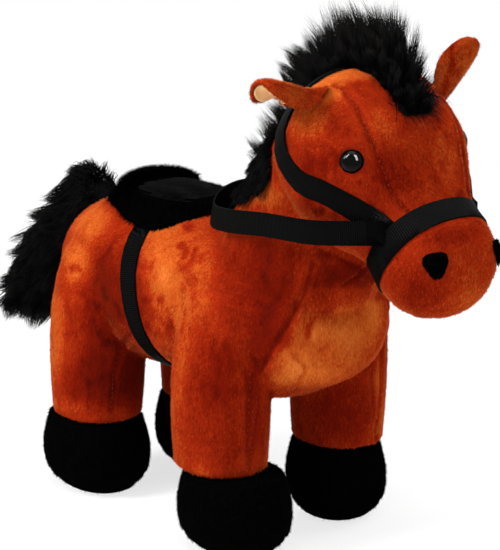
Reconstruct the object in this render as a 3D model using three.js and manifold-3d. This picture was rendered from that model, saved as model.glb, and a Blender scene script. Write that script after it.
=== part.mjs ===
// A stuffed plush horse with a saddle and a ribbon bridle, standing on four stuffed legs.
// Millimetres, +Z up. The horse faces -Y and its left side is +X. The origin is on the floor, under the
// middle of its length. Every stuffed form is a loft along a straight spine.
import * as THREE from 'three';
import { mergeVertices } from 'three/addons/utils/BufferGeometryUtils.js';
import Module from 'manifold-3d';

const wasm = await Module();
wasm.setup();

// Clearances
const seamGap = 0.3; // between neighbouring stuffed forms, and under what is sewn on
const clothGap = 0.45; // between ribbons and the plush they lie on
const cutOverrun = 2; // how far a cut runs past what it cuts
const floorCut = 0.5; // depth of the flat that the soles stand on

// Stance: from the origin out to the middle of each leg and hoof, and forward or back to it
const frontRightLegOut = 41;
const frontRightLegAhead = 55;
const frontRightHoofOut = 39.8;
const frontRightHoofAhead = 65;
const frontLeftLegOut = 37;
const frontLeftLegAhead = 58.5;
const frontLeftHoofOut = 36;
const frontLeftHoofAhead = 59;
const rearRightLegOut = 36;
const rearRightLegBack = 58;
const rearRightHoofOut = 39;
const rearRightHoofBack = 59.5;
const rearLeftLegOut = 33;
const rearLeftLegBack = 48;
const rearLeftHoofOut = 30.5;
const rearLeftHoofBack = 49;
const rearLean = 3; // how far both hind legs lean to the horse's right, down to their hooves

// Torso: a barrel from the rump to the chest
const rumpReach = 81;
const chestReach = 90;
const torsoWidth = 104;
const torsoDepth = 96;
const backHeight = 169;
const rumpRound = 20;
const chestRound = 19;

// Neck: a thick column from the shoulders to the back of the head
const neckRootReach = 60;
const neckRootHeight = 128;
const neckTopReach = 97;
const neckTopHeight = 208;
const neckWidth = 84;
const neckDepth = 92;
const neckEndRound = 8;

// Head: from the middle of the skull down to the middle of the muzzle
const skullReach = 117;
const skullHeight = 219;
const muzzleReach = 171;
const muzzleHeight = 171;
const headWidth = 94;
const headDepth = 78;
const skullRound = 36;
const muzzleRound = 28;

// Legs, hooves and soles
const hipHeight = 134;
const seamHeight = 43;
const legWidth = 47;
const legDepth = 53;
const frontRightHoofWidth = 54;
const frontRightHoofLength = 64;
const frontLeftHoofWidth = 50;
const frontLeftHoofLength = 56;
const rearRightHoofWidth = 53;
const rearRightHoofLength = 66;
const rearLeftHoofWidth = 52;
const rearLeftHoofLength = 62;
const hoofRound = 11;
const hipRound = 6;
const legEndRound = 1.2;
const soleWidth = 36;
const soleInset = 17; // how much shorter the sole is than its hoof
const soleThick = 4.5;
const soleRound = 2.5;

// Ears: a curled plush outer with a satin lining
const rightEarLength = 37.5;
const leftEarLength = 38;
const earWidth = 31;
const earOuterThick = 2.6;
const earLiningThick = 1;
const earLiningInset = 1.6; // from the edge of the outer to the edge of the lining
const earHingeLift = 0.7; // of the hinge above the skull
const earHeel = 0.55; // how far the ear's foot reaches below its hinge
const leftEarBow = 6; // how far the ear's tip bows towards its open face
const rightEarBow = 2;

// Safety eyes
const eyeDomeRadius = 5.4;
const eyeDomeHeight = 3.4;
const eyeSink = 2.4; // how deep the eye is pulled into the plush
const eyeRimRadius = 6;
const eyeRimThick = 1;
const shankRadius = 2;
const shankLength = 11;
const washerRadius = 6;
const washerThick = 1.4;
const washerDepth = 3; // plush and filling between the rim and the washer

// Nostril patches
const nostrilWidth = 12;
const nostrilHeight = 13;
const nostrilThick = 1.8;

// Mane
const crestLength = 28; // of the longest pile over the skull
const crestWidth = 19;
const crestCoreAhead = 2; // from the middle of the skull to the point that the pile fans out from
const crestCoreDrop = 4;
const crestCoreLift = 40; // from that point out to the skull
const napeLength = 17;
const napeWidth = 18;
const withersWidth = 20;
const withersThick = 7;
const withersReach = 14; // from the middle of the stance forward to the saddle's end of the strip

// Tail
const tailTipReach = 198;
const tailTipHeight = 71;
const tailWidth = 42;
const tailDepth = 62;
const tailTipRound = 7;
const tailRootRound = 2;
const backingWidth = 12;
const backingThick = 2;
const backingLength = 62;
const tabWidth = 6;
const tabThick = 3;
const tabLength = 7; // from the line that the tail swings about to the line that it lifts about

// Saddle
const padThick = 2.8;
const padEdge = 1.6;
const seatThick = 1.4;
const seatEdge = 0.6;
const cantleWidth = 12;
const cantleHeight = 5.4;
const cantleEdge = 1.5;
const cantleSweep = 9; // how far the ends of the cantle reach forward

// Ribbons of the girth and the bridle
const ribbonWidth = 12;
const ribbonThick = 0.9;
const girthPlace = 8; // behind the middle of the stance
const reinOut = 51; // from the middle of the horse to each side of the rein loop
const reinDip = 6; // how far the sides of the loop hang below its ends
const reinRise = 0.6; // the ribbon is flat and the cheek under it is round
const reinBack = 19; // from the middle of the stance forward to the rear edge of the rein

const plushColour = '#a9430f';
const blackPlushColour = '#131211';
const satinColour = '#e2b878';
const ribbonColour = '#161617';
const eyeColour = '#0c0908';
const washerColour = '#e8e6e0';
const backingColour = '#201d1b';

function materialOf(color, roughness) {
  return () => new THREE.MeshStandardMaterial({ color, roughness, metalness: 0 });
}
const plush = materialOf(plushColour, 0.9);
const blackPlush = materialOf(blackPlushColour, 1);
const longPile = materialOf(blackPlushColour, 0.8);
const satin = materialOf(satinColour, 0.45);
const ribbon = materialOf(ribbonColour, 0.6);
const glossPlastic = materialOf(eyeColour, 0.05);
const whitePlastic = materialOf(washerColour, 0.5);
const woven = materialOf(backingColour, 0.9);

const across = new THREE.Vector3(1, 0, 0);
const upright = new THREE.Vector3(0, 0, 1);
const quarterTurn = Math.PI / 2;
const fullTurn = Math.PI * 2;

// Stations of each form along its spine. along runs from 0 to 1; wide is a share of half the width, and
// rise and fall are shares of half the depth, on the upper and the lower side of the spine.
const torsoShares = [
  { along: 0, wide: 0.84, rise: 0.78, fall: 0.78 },
  { along: 0.12, wide: 0.96, rise: 0.95, fall: 0.93 },
  { along: 0.32, wide: 1, rise: 0.98, fall: 0.96 },
  { along: 0.55, wide: 0.98, rise: 0.93, fall: 0.92 },
  { along: 0.76, wide: 1, rise: 0.96, fall: 0.96 },
  { along: 0.9, wide: 0.96, rise: 0.86, fall: 0.9 },
  { along: 1, wide: 0.8, rise: 0.64, fall: 0.7 },
];
const neckShares = [
  { along: 0, wide: 1, rise: 1.02, fall: 0.9 },
  { along: 0.25, wide: 0.96, rise: 0.94, fall: 0.94 },
  { along: 0.5, wide: 0.89, rise: 0.85, fall: 0.92 },
  { along: 0.75, wide: 0.84, rise: 0.76, fall: 0.84 },
  { along: 1, wide: 0.78, rise: 0.7, fall: 0.72 },
];
const headShares = [
  { along: 0, wide: 0.98, rise: 1.05, fall: 0.98 },
  { along: 0.28, wide: 0.97, rise: 1.02, fall: 1 },
  { along: 0.52, wide: 0.84, rise: 0.8, fall: 0.88 },
  { along: 0.76, wide: 0.65, rise: 0.64, fall: 0.66 },
  { along: 1, wide: 0.62, rise: 0.68, fall: 0.74 },
];
const foreLegShares = [
  { along: 0, wide: 0.6, rise: 0.86, fall: 0.7 },
  { along: 0.22, wide: 0.86, rise: 1.06, fall: 0.9 },
  { along: 0.5, wide: 1.0, rise: 1.04, fall: 0.96 },
  { along: 0.78, wide: 1.0, rise: 0.98, fall: 0.96 },
  { along: 1, wide: 0.94, rise: 0.94, fall: 0.94 },
];
const hindLegShares = [
  { along: 0, wide: 0.6, rise: 0.7, fall: 0.9 },
  { along: 0.22, wide: 0.88, rise: 0.94, fall: 1.06 },
  { along: 0.5, wide: 1.02, rise: 1.0, fall: 1.08 },
  { along: 0.78, wide: 1.02, rise: 0.98, fall: 1.02 },
  { along: 1, wide: 0.96, rise: 0.94, fall: 0.96 },
];
const hoofShares = [
  { along: 0, wide: 0.87, rise: 0.83, fall: 0.88 },
  { along: 0.35, wide: 0.96, rise: 0.95, fall: 0.97 },
  { along: 0.65, wide: 1, rise: 1, fall: 1 },
  { along: 1, wide: 0.94, rise: 0.95, fall: 0.94 },
];
const soleShares = [
  { along: 0, wide: 1, rise: 1, fall: 1 },
  { along: 1, wide: 1, rise: 1, fall: 1 },
];
// The tail's spine runs down and back, so its rise is the underside of the plume and its fall the top
const tailShares = [
  { along: 0, wide: 0.72, rise: 0.12, fall: 0.8 },
  { along: 0.13, wide: 0.84, rise: 0.4, fall: 0.88 },
  { along: 0.35, wide: 0.96, rise: 0.82, fall: 0.72 },
  { along: 0.6, wide: 1, rise: 0.94, fall: 0.66 },
  { along: 0.83, wide: 0.85, rise: 0.8, fall: 0.3 },
  { along: 1, wide: 0.5, rise: 0.34, fall: 0.16 },
];
const backingShares = [
  { along: 0, wide: 0.5, rise: 1, fall: 1 },
  { along: 0.2, wide: 1, rise: 1, fall: 1 },
  { along: 1, wide: 1, rise: 1, fall: 1 },
];
const tabShares = [
  { along: 0, wide: 1, rise: 1, fall: 1 },
  { along: 1, wide: 0.9, rise: 1, fall: 1 },
];

// A stuffed form: a spine with rounded-oval stations, and a rounded end beyond each end of the spine.
function stuffedForm({ from, to, fullness = 2.3, caps = 4, ...rest }) {
  const length = from.distanceTo(to);
  const run = to.clone().sub(from).divideScalar(length);
  const up = run.clone().cross(across).normalize();
  return { from, length, run, up, fullness, caps, ...rest };
}

// Value of one column of a table of shares at a place along it, on a smooth curve through the rows.
function shareAt(rows, key, place) {
  const last = rows.length - 1;
  if (place <= rows[0].along) return rows[0][key];
  if (place >= rows[last].along) return rows[last][key];
  let i = 0;
  while (rows[i + 1].along < place) i += 1;
  const slope = (j) => {
    const a = rows[Math.max(j - 1, 0)];
    const b = rows[Math.min(j + 1, last)];
    return (b[key] - a[key]) / (b.along - a.along);
  };
  const step = rows[i + 1].along - rows[i].along;
  const t = (place - rows[i].along) / step;
  const rise = rows[i + 1][key] - rows[i][key];
  const start = slope(i) * step;
  const end = slope(i + 1) * step;
  return rows[i][key] + t * (start + t * (3 * rise - 2 * start - end + t * (start + end - 2 * rise)));
}

// One station of a form, from -1 (the pole of the first end) over 0 to 1 (the spine) to 2 (the last pole).
function station(form, place) {
  const onSpine = Math.min(Math.max(place, 0), 1);
  const beyond = place - onSpine;
  const turn = Math.abs(beyond) * quarterTurn;
  const round = beyond < 0 ? -form.fromRound : form.toRound;
  const scale = Math.cos(turn);
  return {
    centre: form.from.clone().addScaledVector(form.run, form.length * onSpine + round * Math.sin(turn)),
    wide: (form.width / 2) * shareAt(form.shares, 'wide', onSpine) * scale,
    rise: (form.depth / 2) * shareAt(form.shares, 'rise', onSpine) * scale,
    fall: (form.depth / 2) * shareAt(form.shares, 'fall', onSpine) * scale,
  };
}

const blunt = (value, fullness) => Math.sign(value) * Math.abs(value) ** (2 / fullness);

// Point on the skin of a form. angle 0 is the horse's left, and a quarter turn is the upper side.
function skinPoint(form, place, angle, lift = 0) {
  const at = station(form, place);
  const side = blunt(Math.cos(angle), form.fullness);
  const high = blunt(Math.sin(angle), form.fullness);
  const depth = high > 0 ? at.rise : at.fall;
  return at.centre
    .addScaledVector(across, side * (at.wide + lift))
    .addScaledVector(form.up, high * (depth + lift));
}

// Below 1 inside a form, 1 on its skin, above 1 outside. grow makes the form larger all round.
function reachOf(form, point, grow = 0) {
  const offset = point.clone().sub(form.from);
  const travel = offset.dot(form.run);
  const place = Math.min(Math.max(travel / form.length, 0), 1);
  const at = station(form, place);
  const side = offset.x / (at.wide + grow);
  const high = offset.dot(form.up);
  const depth = high > 0 ? at.rise : at.fall;
  const sum = Math.abs(side) ** form.fullness + Math.abs(high / (depth + grow)) ** form.fullness;
  const oval = sum ** (1 / form.fullness);
  const beyond = travel - place * form.length;
  const round = beyond < 0 ? form.fromRound : form.toRound;
  return Math.hypot(oval, beyond / (round + grow));
}

const reachOfAll = (forms, point) => Math.min(...forms.map((form) => reachOf(form, point)));

// Where a ray that starts inside some of the forms leaves the last of them.
const searchReach = torsoWidth + torsoDepth / 2;
const searchSteps = 100;
const searchHalvings = 24;
function seatPoint(forms, core, direction) {
  const heading = direction.clone().normalize();
  const step = searchReach / searchSteps;
  const isOutside = (reach) => reachOfAll(forms, core.clone().addScaledVector(heading, reach)) > 1;
  let outside = searchReach;
  while (outside > step && isOutside(outside - step)) outside -= step;
  let inside = outside - step;
  for (let i = 0; i < searchHalvings; i += 1) {
    const middle = (inside + outside) / 2;
    if (isOutside(middle)) outside = middle;
    else inside = middle;
  }
  return core.clone().addScaledVector(heading, outside);
}

// Outward direction of the joined skin of several forms near a point.
const slopeStep = 0.6;
function skinNormal(forms, point) {
  const slope = ['x', 'y', 'z'].map((axis) => {
    const ahead = point.clone();
    const behind = point.clone();
    ahead[axis] += slopeStep;
    behind[axis] -= slopeStep;
    return reachOfAll(forms, ahead) - reachOfAll(forms, behind);
  });
  return new THREE.Vector3(...slope).normalize();
}

// A closed skin of quads from rows of points; each row goes once round. The ends are fanned shut, or shut by
// a strip where each row goes out along one face of a layer and back along the other.
function closedSkin(rows, { ring = false, strip = false } = {}) {
  const points = rows.flat();
  const count = rows[0].length;
  const last = rows.length - 1;
  const faces = [];
  const at = (i, j) => (i % rows.length) * count + (j % count);
  const bands = ring ? rows.length : last;
  for (let i = 0; i < bands; i += 1) {
    for (let j = 0; j < count; j += 1) {
      faces.push(at(i, j), at(i, j + 1), at(i + 1, j + 1));
      faces.push(at(i, j), at(i + 1, j + 1), at(i + 1, j));
    }
  }
  if (strip) {
    for (let j = 1; j < count / 2; j += 1) {
      const [near, far] = [0, last].map((i) => [at(i, j - 1), at(i, j), at(i, count - 1 - j), at(i, count - j)]);
      faces.push(near[0], near[2], near[1], near[0], near[3], near[2]);
      faces.push(far[0], far[1], far[2], far[0], far[2], far[3]);
    }
  } else if (!ring) {
    [0, last].forEach((i) => {
      const middle = points.length;
      const centre = new THREE.Vector3();
      rows[i].forEach((point) => centre.add(point));
      points.push(centre.divideScalar(count));
      for (let j = 0; j < count; j += 1) {
        if (i === 0) faces.push(middle, at(i, j + 1), at(i, j));
        else faces.push(middle, at(i, j), at(i, j + 1));
      }
    });
  }
  return skinGeometry(points, faces);
}

// The faces of a closed skin, turned to face outwards
function skinGeometry(points, faces) {
  let volume = 0;
  for (let i = 0; i < faces.length; i += 3) {
    const [a, b, c] = faces.slice(i, i + 3).map((index) => points[index]);
    volume += a.dot(b.clone().cross(c));
  }
  const geometry = new THREE.BufferGeometry();
  const positions = points.flatMap((p) => [p.x, p.y, p.z]);
  geometry.setAttribute('position', new THREE.Float32BufferAttribute(positions, 3));
  geometry.setIndex(volume < 0 ? faces.toReversed() : faces);
  return geometry;
}

// The closed mesh of a stuffed form, made larger all round by grow.
const poleShare = 0.35; // of the step between rings, left between the last ring and the pole
function formGeometry(form, grow = 0) {
  const places = [];
  const capStep = 1 / (form.caps + poleShare);
  for (let i = form.caps; i > 0; i -= 1) places.push(-i * capStep);
  for (let i = 0; i <= form.rings; i += 1) places.push(i / form.rings);
  for (let i = 1; i <= form.caps; i += 1) places.push(1 + i * capStep);
  const grown = { ...form, fromRound: form.fromRound + grow, toRound: form.toRound + grow };
  const angles = Array.from({ length: form.around }, (_, j) => (fullTurn * j) / form.around);
  return closedSkin(places.map((place) => angles.map((angle) => skinPoint(grown, place, angle, grow))));
}

// A layer on a surface: under and over give the two faces at u and v, both from 0 to 1.
function layerGeometry(columns, rows, under, over, { ring = false } = {}) {
  const loops = [];
  const stations = ring ? columns : columns + 1;
  for (let i = 0; i < stations; i += 1) {
    const u = i / columns;
    const loop = [];
    for (let j = 0; j <= rows; j += 1) loop.push(under(u, j / rows));
    for (let j = rows; j >= 0; j -= 1) loop.push(over(u, j / rows));
    loops.push(loop);
  }
  return closedSkin(loops, { ring, strip: !ring });
}

// Booleans on closed meshes
function solidOf(geometry) {
  const bare = geometry.clone();
  bare.deleteAttribute('normal');
  bare.deleteAttribute('uv');
  const merged = mergeVertices(bare);
  return new wasm.Manifold(new wasm.Mesh({
    numProp: 3,
    vertProperties: new Float32Array(merged.attributes.position.array),
    triVerts: new Uint32Array(merged.index.array),
  }));
}

function geometryOf(solid) {
  const mesh = solid.getMesh();
  const geometry = new THREE.BufferGeometry();
  geometry.setAttribute('position', new THREE.BufferAttribute(new Float32Array(mesh.vertProperties), 3));
  geometry.setIndex(new THREE.BufferAttribute(new Uint32Array(mesh.triVerts), 1));
  return geometry;
}

// A solid as a moving piece meets it once the piece has turned by some degrees about a pivot
function metAfterTurn(geometry, pivot, axis, degrees) {
  const turn = new THREE.Quaternion().setFromAxisAngle(axis, THREE.MathUtils.degToRad(-degrees));
  geometry.translate(-pivot.x, -pivot.y, -pivot.z).applyQuaternion(turn);
  return geometry.translate(pivot.x, pivot.y, pivot.z);
}

// A geometry with others cut out of it; of what is left, the largest piece.
function cutBy(geometry, cutters) {
  const left = cutters.reduce((solid, cutter) => solid.subtract(solidOf(cutter)), solidOf(geometry));
  const pieces = left.decompose().sort((a, b) => b.volume() - a.volume());
  return geometryOf(pieces[0]);
}

const horse = new THREE.Group();
const sides = [
  { name: 'right', sign: -1 },
  { name: 'left', sign: 1 },
];
const legs = [
  {
    name: 'front_right',
    shares: foreLegShares,
    lean: 0,
    legAt: [-frontRightLegOut, -frontRightLegAhead],
    hoofAt: [-frontRightHoofOut, -frontRightHoofAhead],
    hoofSize: [frontRightHoofWidth, frontRightHoofLength],
  },
  {
    name: 'front_left',
    shares: foreLegShares,
    lean: 0,
    legAt: [frontLeftLegOut, -frontLeftLegAhead],
    hoofAt: [frontLeftHoofOut, -frontLeftHoofAhead],
    hoofSize: [frontLeftHoofWidth, frontLeftHoofLength],
  },
  {
    name: 'rear_right',
    shares: hindLegShares,
    lean: -rearLean,
    legAt: [-rearRightLegOut, rearRightLegBack],
    hoofAt: [-rearRightHoofOut, rearRightHoofBack],
    hoofSize: [rearRightHoofWidth, rearRightHoofLength],
  },
  {
    name: 'rear_left',
    shares: hindLegShares,
    lean: -rearLean,
    legAt: [rearLeftLegOut, rearLeftLegBack],
    hoofAt: [rearLeftHoofOut, rearLeftHoofBack],
    hoofSize: [rearLeftHoofWidth, rearLeftHoofLength],
  },
];

function addPiece(name, geometry, material) {
  const flat = geometry.index ? geometry.toNonIndexed() : geometry;
  flat.deleteAttribute('normal');
  flat.computeVertexNormals();
  const mesh = new THREE.Mesh(flat, material);
  mesh.name = name;
  horse.add(mesh);
}

// The stuffed body

const torso = stuffedForm({
  from: new THREE.Vector3(0, rumpReach, backHeight - torsoDepth / 2),
  to: new THREE.Vector3(0, -chestReach, backHeight - torsoDepth / 2),
  width: torsoWidth,
  depth: torsoDepth,
  shares: torsoShares,
  fromRound: rumpRound,
  toRound: chestRound,
  around: 24,
  rings: 12,
});
const neck = stuffedForm({
  from: new THREE.Vector3(0, -neckRootReach, neckRootHeight),
  to: new THREE.Vector3(0, -neckTopReach, neckTopHeight),
  width: neckWidth,
  depth: neckDepth,
  shares: neckShares,
  fromRound: neckEndRound,
  toRound: neckEndRound,
  fullness: 2.15,
  around: 24,
  rings: 8,
});
const head = stuffedForm({
  from: new THREE.Vector3(0, -skullReach, skullHeight),
  to: new THREE.Vector3(0, -muzzleReach, muzzleHeight),
  width: headWidth,
  depth: headDepth,
  shares: headShares,
  fromRound: skullRound,
  toRound: muzzleRound,
  around: 28,
  rings: 11,
});

function legForm({ legAt, lean, shares }) {
  const hip = new THREE.Vector3(...legAt, hipHeight);
  const ankle = hip.clone().setZ(seamHeight + seamGap / 2 + legEndRound);
  ankle.x += lean;
  return stuffedForm({
    from: hip,
    to: ankle,
    width: legWidth,
    depth: legDepth,
    shares,
    fromRound: hipRound,
    toRound: legEndRound,
    around: 20,
    rings: 6,
    caps: 2,
  });
}

function hoofForm({ hoofAt, hoofSize: [width, depth] }) {
  return stuffedForm({
    from: new THREE.Vector3(...hoofAt, seamHeight - seamGap / 2 - legEndRound),
    to: new THREE.Vector3(...hoofAt, hoofRound + seamGap),
    width,
    depth,
    shares: hoofShares,
    fromRound: legEndRound,
    toRound: hoofRound,
    around: 20,
    rings: 4,
    caps: 3,
  });
}

function soleForm(hoof) {
  return stuffedForm({
    from: hoof.from.clone().setZ(soleThick),
    to: hoof.from.clone().setZ(soleRound - floorCut),
    width: soleWidth,
    depth: hoof.depth - soleInset,
    shares: soleShares,
    fromRound: floorCut,
    toRound: soleRound,
    around: 20,
    rings: 1,
    caps: 2,
  });
}

const floorLength = (rumpReach + chestReach) * 2;
const localFloor = new THREE.BoxGeometry(torsoWidth * 2, floorLength, cutOverrun * 2);
localFloor.translate(0, 0, -cutOverrun);

function addBody(eyeCutters) {
  addPiece('torso', formGeometry(torso), plush());
  const torsoCutter = formGeometry(torso, seamGap);
  addPiece('neck', cutBy(formGeometry(neck), [torsoCutter, formGeometry(head, seamGap)]), plush());
  addPiece('head', cutBy(formGeometry(head), [torsoCutter, ...eyeCutters]), plush());
}

function addLegs() {
  const torsoCutter = formGeometry(torso, seamGap);
  const neckCutter = formGeometry(neck, seamGap);
  legs.forEach((leg) => {
    const hoof = hoofForm(leg);
    const sole = soleForm(hoof);
    const upper = cutBy(formGeometry(legForm(leg)), [torsoCutter, neckCutter]);
    addPiece(`leg_${leg.name}`, upper, plush());
    addPiece(`hoof_${leg.name}`, cutBy(formGeometry(hoof), [formGeometry(sole, seamGap)]), blackPlush());
    addPiece(`sole_${leg.name}`, cutBy(formGeometry(sole), [localFloor]), blackPlush());
  });
}

// Eyes, with the washers that lock them inside the head

const eyeAlongShares = { right: 0.335, left: 0.27 };
const eyeAngles = { right: THREE.MathUtils.degToRad(35), left: THREE.MathUtils.degToRad(25) };
const domeSteps = 5;
const roundSides = 16;

// Lathes turn about +Y; this stands one on the head, its +Y along the outward direction.
function standOnHead(geometry, point, outward) {
  const turn = new THREE.Quaternion().setFromUnitVectors(new THREE.Vector3(0, 1, 0), outward);
  return geometry.applyQuaternion(turn).translate(point.x, point.y, point.z);
}

function lathe(profile) {
  return new THREE.LatheGeometry(profile.map(([r, h]) => new THREE.Vector2(r, h)), roundSides);
}

function eyeGeometry() {
  const profile = [[0, -shankLength], [shankRadius, -shankLength], [shankRadius, 0], [eyeRimRadius, 0]];
  profile.push([eyeRimRadius, eyeRimThick], [eyeDomeRadius, eyeRimThick]);
  for (let i = 1; i <= domeSteps; i += 1) {
    const turn = (quarterTurn * i) / domeSteps;
    const radius = i === domeSteps ? 0 : eyeDomeRadius * Math.cos(turn);
    profile.push([radius, eyeRimThick + eyeDomeHeight * Math.sin(turn)]);
  }
  return lathe(profile);
}

function washerProfile(inner, outer, low, high) {
  return [[inner, low], [outer, low], [outer, high], [inner, high], [inner, low]];
}

function eyePlace(side) {
  const turn = eyeAngles[side.name];
  const point = skinPoint(head, eyeAlongShares[side.name], side.sign > 0 ? turn : Math.PI - turn);
  const outward = skinNormal([head], point);
  return { point: point.addScaledVector(outward, -eyeSink), outward };
}

// The pocket that the shank and the washer fill in the head
function eyePocket(side) {
  const { point, outward } = eyePlace(side);
  const low = -washerDepth - washerThick - seamGap;
  const profile = [[0, -shankLength - seamGap], [shankRadius + seamGap, -shankLength - seamGap]];
  profile.push([shankRadius + seamGap, low], [washerRadius + seamGap, low]);
  profile.push([washerRadius + seamGap, seamGap - washerDepth]);
  profile.push([shankRadius + seamGap, seamGap - washerDepth]);
  profile.push([shankRadius + seamGap, -seamGap], [eyeRimRadius + seamGap, -seamGap]);
  profile.push([eyeRimRadius + seamGap, eyeSink + cutOverrun], [0, eyeSink + cutOverrun]);
  return standOnHead(lathe(profile), point, outward);
}

function addEyes() {
  sides.forEach((side) => {
    const { point, outward } = eyePlace(side);
    const low = -washerDepth - washerThick;
    const washer = washerProfile(shankRadius + seamGap, washerRadius, low, -washerDepth);
    addPiece(`eye_${side.name}`, standOnHead(eyeGeometry(), point, outward), glossPlastic());
    addPiece(`eye_washer_${side.name}`, standOnHead(lathe(washer), point, outward), whitePlastic());
  });
}

// Nostrils: crowned patches with a rounded, heart-like outline, sewn on the muzzle

const nostrilPlaceShare = 1.285;
const nostrilAngle = THREE.MathUtils.degToRad(43);
const nostrilSteps = 16;
const nostrilRings = 3;
const nostrilPointShare = 0.16;
const nostrilEdgeShare = 0.35;

function patchOnHead(side, place, angle, outline, thick) {
  const centre = skinPoint(head, place, side.sign > 0 ? angle : Math.PI - angle);
  const outward = skinNormal([head], centre);
  const level = new THREE.Vector3(0, 0, 1).cross(outward).normalize();
  const steep = outward.clone().cross(level);
  const core = centre.clone().addScaledVector(outward, -muzzleRound / 2);
  const spot = (radius, turn, lift) => {
    const reach = outline(turn, side.sign) * radius;
    const aim = centre.clone().sub(core);
    aim.addScaledVector(level, reach * Math.cos(turn)).addScaledVector(steep, reach * Math.sin(turn));
    const seat = seatPoint([head], core, aim);
    return seat.addScaledVector(skinNormal([head], seat), lift);
  };
  const rows = [];
  for (let i = 0; i <= nostrilRings; i += 1) rows.push({ radius: i / nostrilRings, top: false });
  for (let i = nostrilRings; i >= 0; i -= 1) rows.push({ radius: i / nostrilRings, top: true });
  const minRadius = 1 / (nostrilSteps * 2);
  return closedSkin(rows.map(({ radius, top }) => {
    const crown = nostrilEdgeShare + (1 - nostrilEdgeShare) * Math.sqrt(1 - radius ** 2);
    const lift = clothGap + (top ? thick * crown : 0);
    const reach = Math.max(radius, minRadius);
    const turns = Array.from({ length: nostrilSteps }, (_, j) => -(fullTurn * j) / nostrilSteps);
    return turns.map((turn) => spot(reach, turn, lift));
  }));
}

function nostrilOutline(turn, sign) {
  const wide = (nostrilWidth / 2) * Math.cos(turn);
  const tall = (nostrilHeight / 2) * Math.sin(turn);
  const lean = 1 + nostrilPointShare * Math.sin(3 * turn + (sign * Math.PI) / 6);
  return Math.hypot(wide, tall) * lean;
}

function addNostrils() {
  sides.forEach((side) => {
    const patch = patchOnHead(side, nostrilPlaceShare, nostrilAngle, nostrilOutline, nostrilThick);
    addPiece(`nostril_${side.name}`, patch, blackPlush());
  });
}

// Ribbons: strips that follow the skin of the forms under them

// Points of a strip's centre line turn into two faces, each point seated on the forms by itself. grow makes
// the solid that cuts other pieces clear of the ribbon.
const ribbonRows = 2;
function ribbonOn(forms, line, columns, { ring = false, grow = 0 } = {}) {
  const frame = (u) => {
    const step = 1 / (columns * 2);
    const wrap = (t) => (ring ? (t + 1) % 1 : Math.min(Math.max(t, 0), 1));
    const seatAt = (t) => {
      const { core, heading } = line(wrap(t));
      return seatPoint(forms, core, heading);
    };
    const seat = seatAt(u);
    const outward = skinNormal(forms, seat);
    const travel = seatAt(u + step).sub(seatAt(u - step)).normalize();
    return { seat, outward, sideways: outward.clone().cross(travel).normalize() };
  };
  const frames = new Map();
  const face = (lift) => (u, v) => {
    if (!frames.has(u)) frames.set(u, frame(u));
    const { seat, outward, sideways } = frames.get(u);
    const reach = (v - 0.5) * (ribbonWidth + grow * 2);
    const core = seat.clone().addScaledVector(sideways, reach).addScaledVector(outward, -ribbonWidth);
    return seatPoint(forms, core, outward).addScaledVector(outward, lift);
  };
  const low = clothGap - grow;
  const high = clothGap + ribbonThick + grow;
  return layerGeometry(columns, ribbonRows, face(high), face(low), { ring });
}

// Noseband: round the muzzle, in a plane that leans from the bridge of the nose back to the chin
const nosebandShare = 0.88;
const nosebandLean = THREE.MathUtils.degToRad(-4);
const nosebandColumns = 36;

function nosebandLine(u) {
  const core = station(head, nosebandShare).centre;
  const upward = head.up.clone().applyAxisAngle(across, nosebandLean);
  const turn = fullTurn * u;
  return { core, heading: upward.multiplyScalar(Math.sin(turn)).addScaledVector(across, Math.cos(turn)) };
}

// Headpiece: from the noseband up the cheek, behind the ear, over the poll and down the other side.
// place is along the head's spine, and turn is a share of a half turn from the side towards the top.
const headpieceColumns = 40;
const headpieceShares = [
  { along: 0, place: 0.82, turn: 0.11 },
  { along: 0.05, place: 0.66, turn: 0.09 },
  { along: 0.13, place: 0.39, turn: 0.03 },
  { along: 0.23, place: 0.05, turn: -0.04 },
  { along: 0.31, place: -0.33, turn: 0 },
  { along: 0.4, place: -0.58, turn: 0.18 },
  { along: 0.5, place: -0.68, turn: 0.5 },
];

function headpieceLine(u) {
  const half = u < 0.5 ? u : 1 - u;
  const place = shareAt(headpieceShares, 'place', half);
  const turn = shareAt(headpieceShares, 'turn', half) * Math.PI;
  const core = station(head, Math.max(place, 0)).centre;
  return { core, heading: skinPoint(head, place, u < 0.5 ? Math.PI - turn : turn).sub(core) };
}

// Girth: round the barrel, up to the saddle's flaps, in a plane that leans back towards its top
const girthColumns = 40;
const girthEndAngle = THREE.MathUtils.degToRad(60);
const girthSpan = Math.PI + girthEndAngle * 2;
const girthLean = THREE.MathUtils.degToRad(12);

function girthLine(u) {
  const core = new THREE.Vector3(0, girthPlace, torso.from.z);
  const turn = girthEndAngle - girthSpan * u;
  const upward = new THREE.Vector3(0, Math.sin(girthLean), Math.cos(girthLean));
  return { core, heading: upward.multiplyScalar(Math.sin(turn)).addScaledVector(across, Math.cos(turn)) };
}

const nosebandSolid = (grow) => ribbonOn([head], nosebandLine, nosebandColumns, { ring: true, grow });
const headpieceSolid = (grow) => ribbonOn([head, neck], headpieceLine, headpieceColumns, { grow });

function addStraps() {
  const girth = ribbonOn([torso], girthLine, girthColumns);
  addPiece('noseband', nosebandSolid(0), ribbon());
  addPiece('headpiece', cutBy(headpieceSolid(0), [nosebandSolid(seamGap)]), ribbon());
  addPiece('girth', cutBy(girth, [padGeometry(seamGap)]), ribbon());
}

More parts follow.
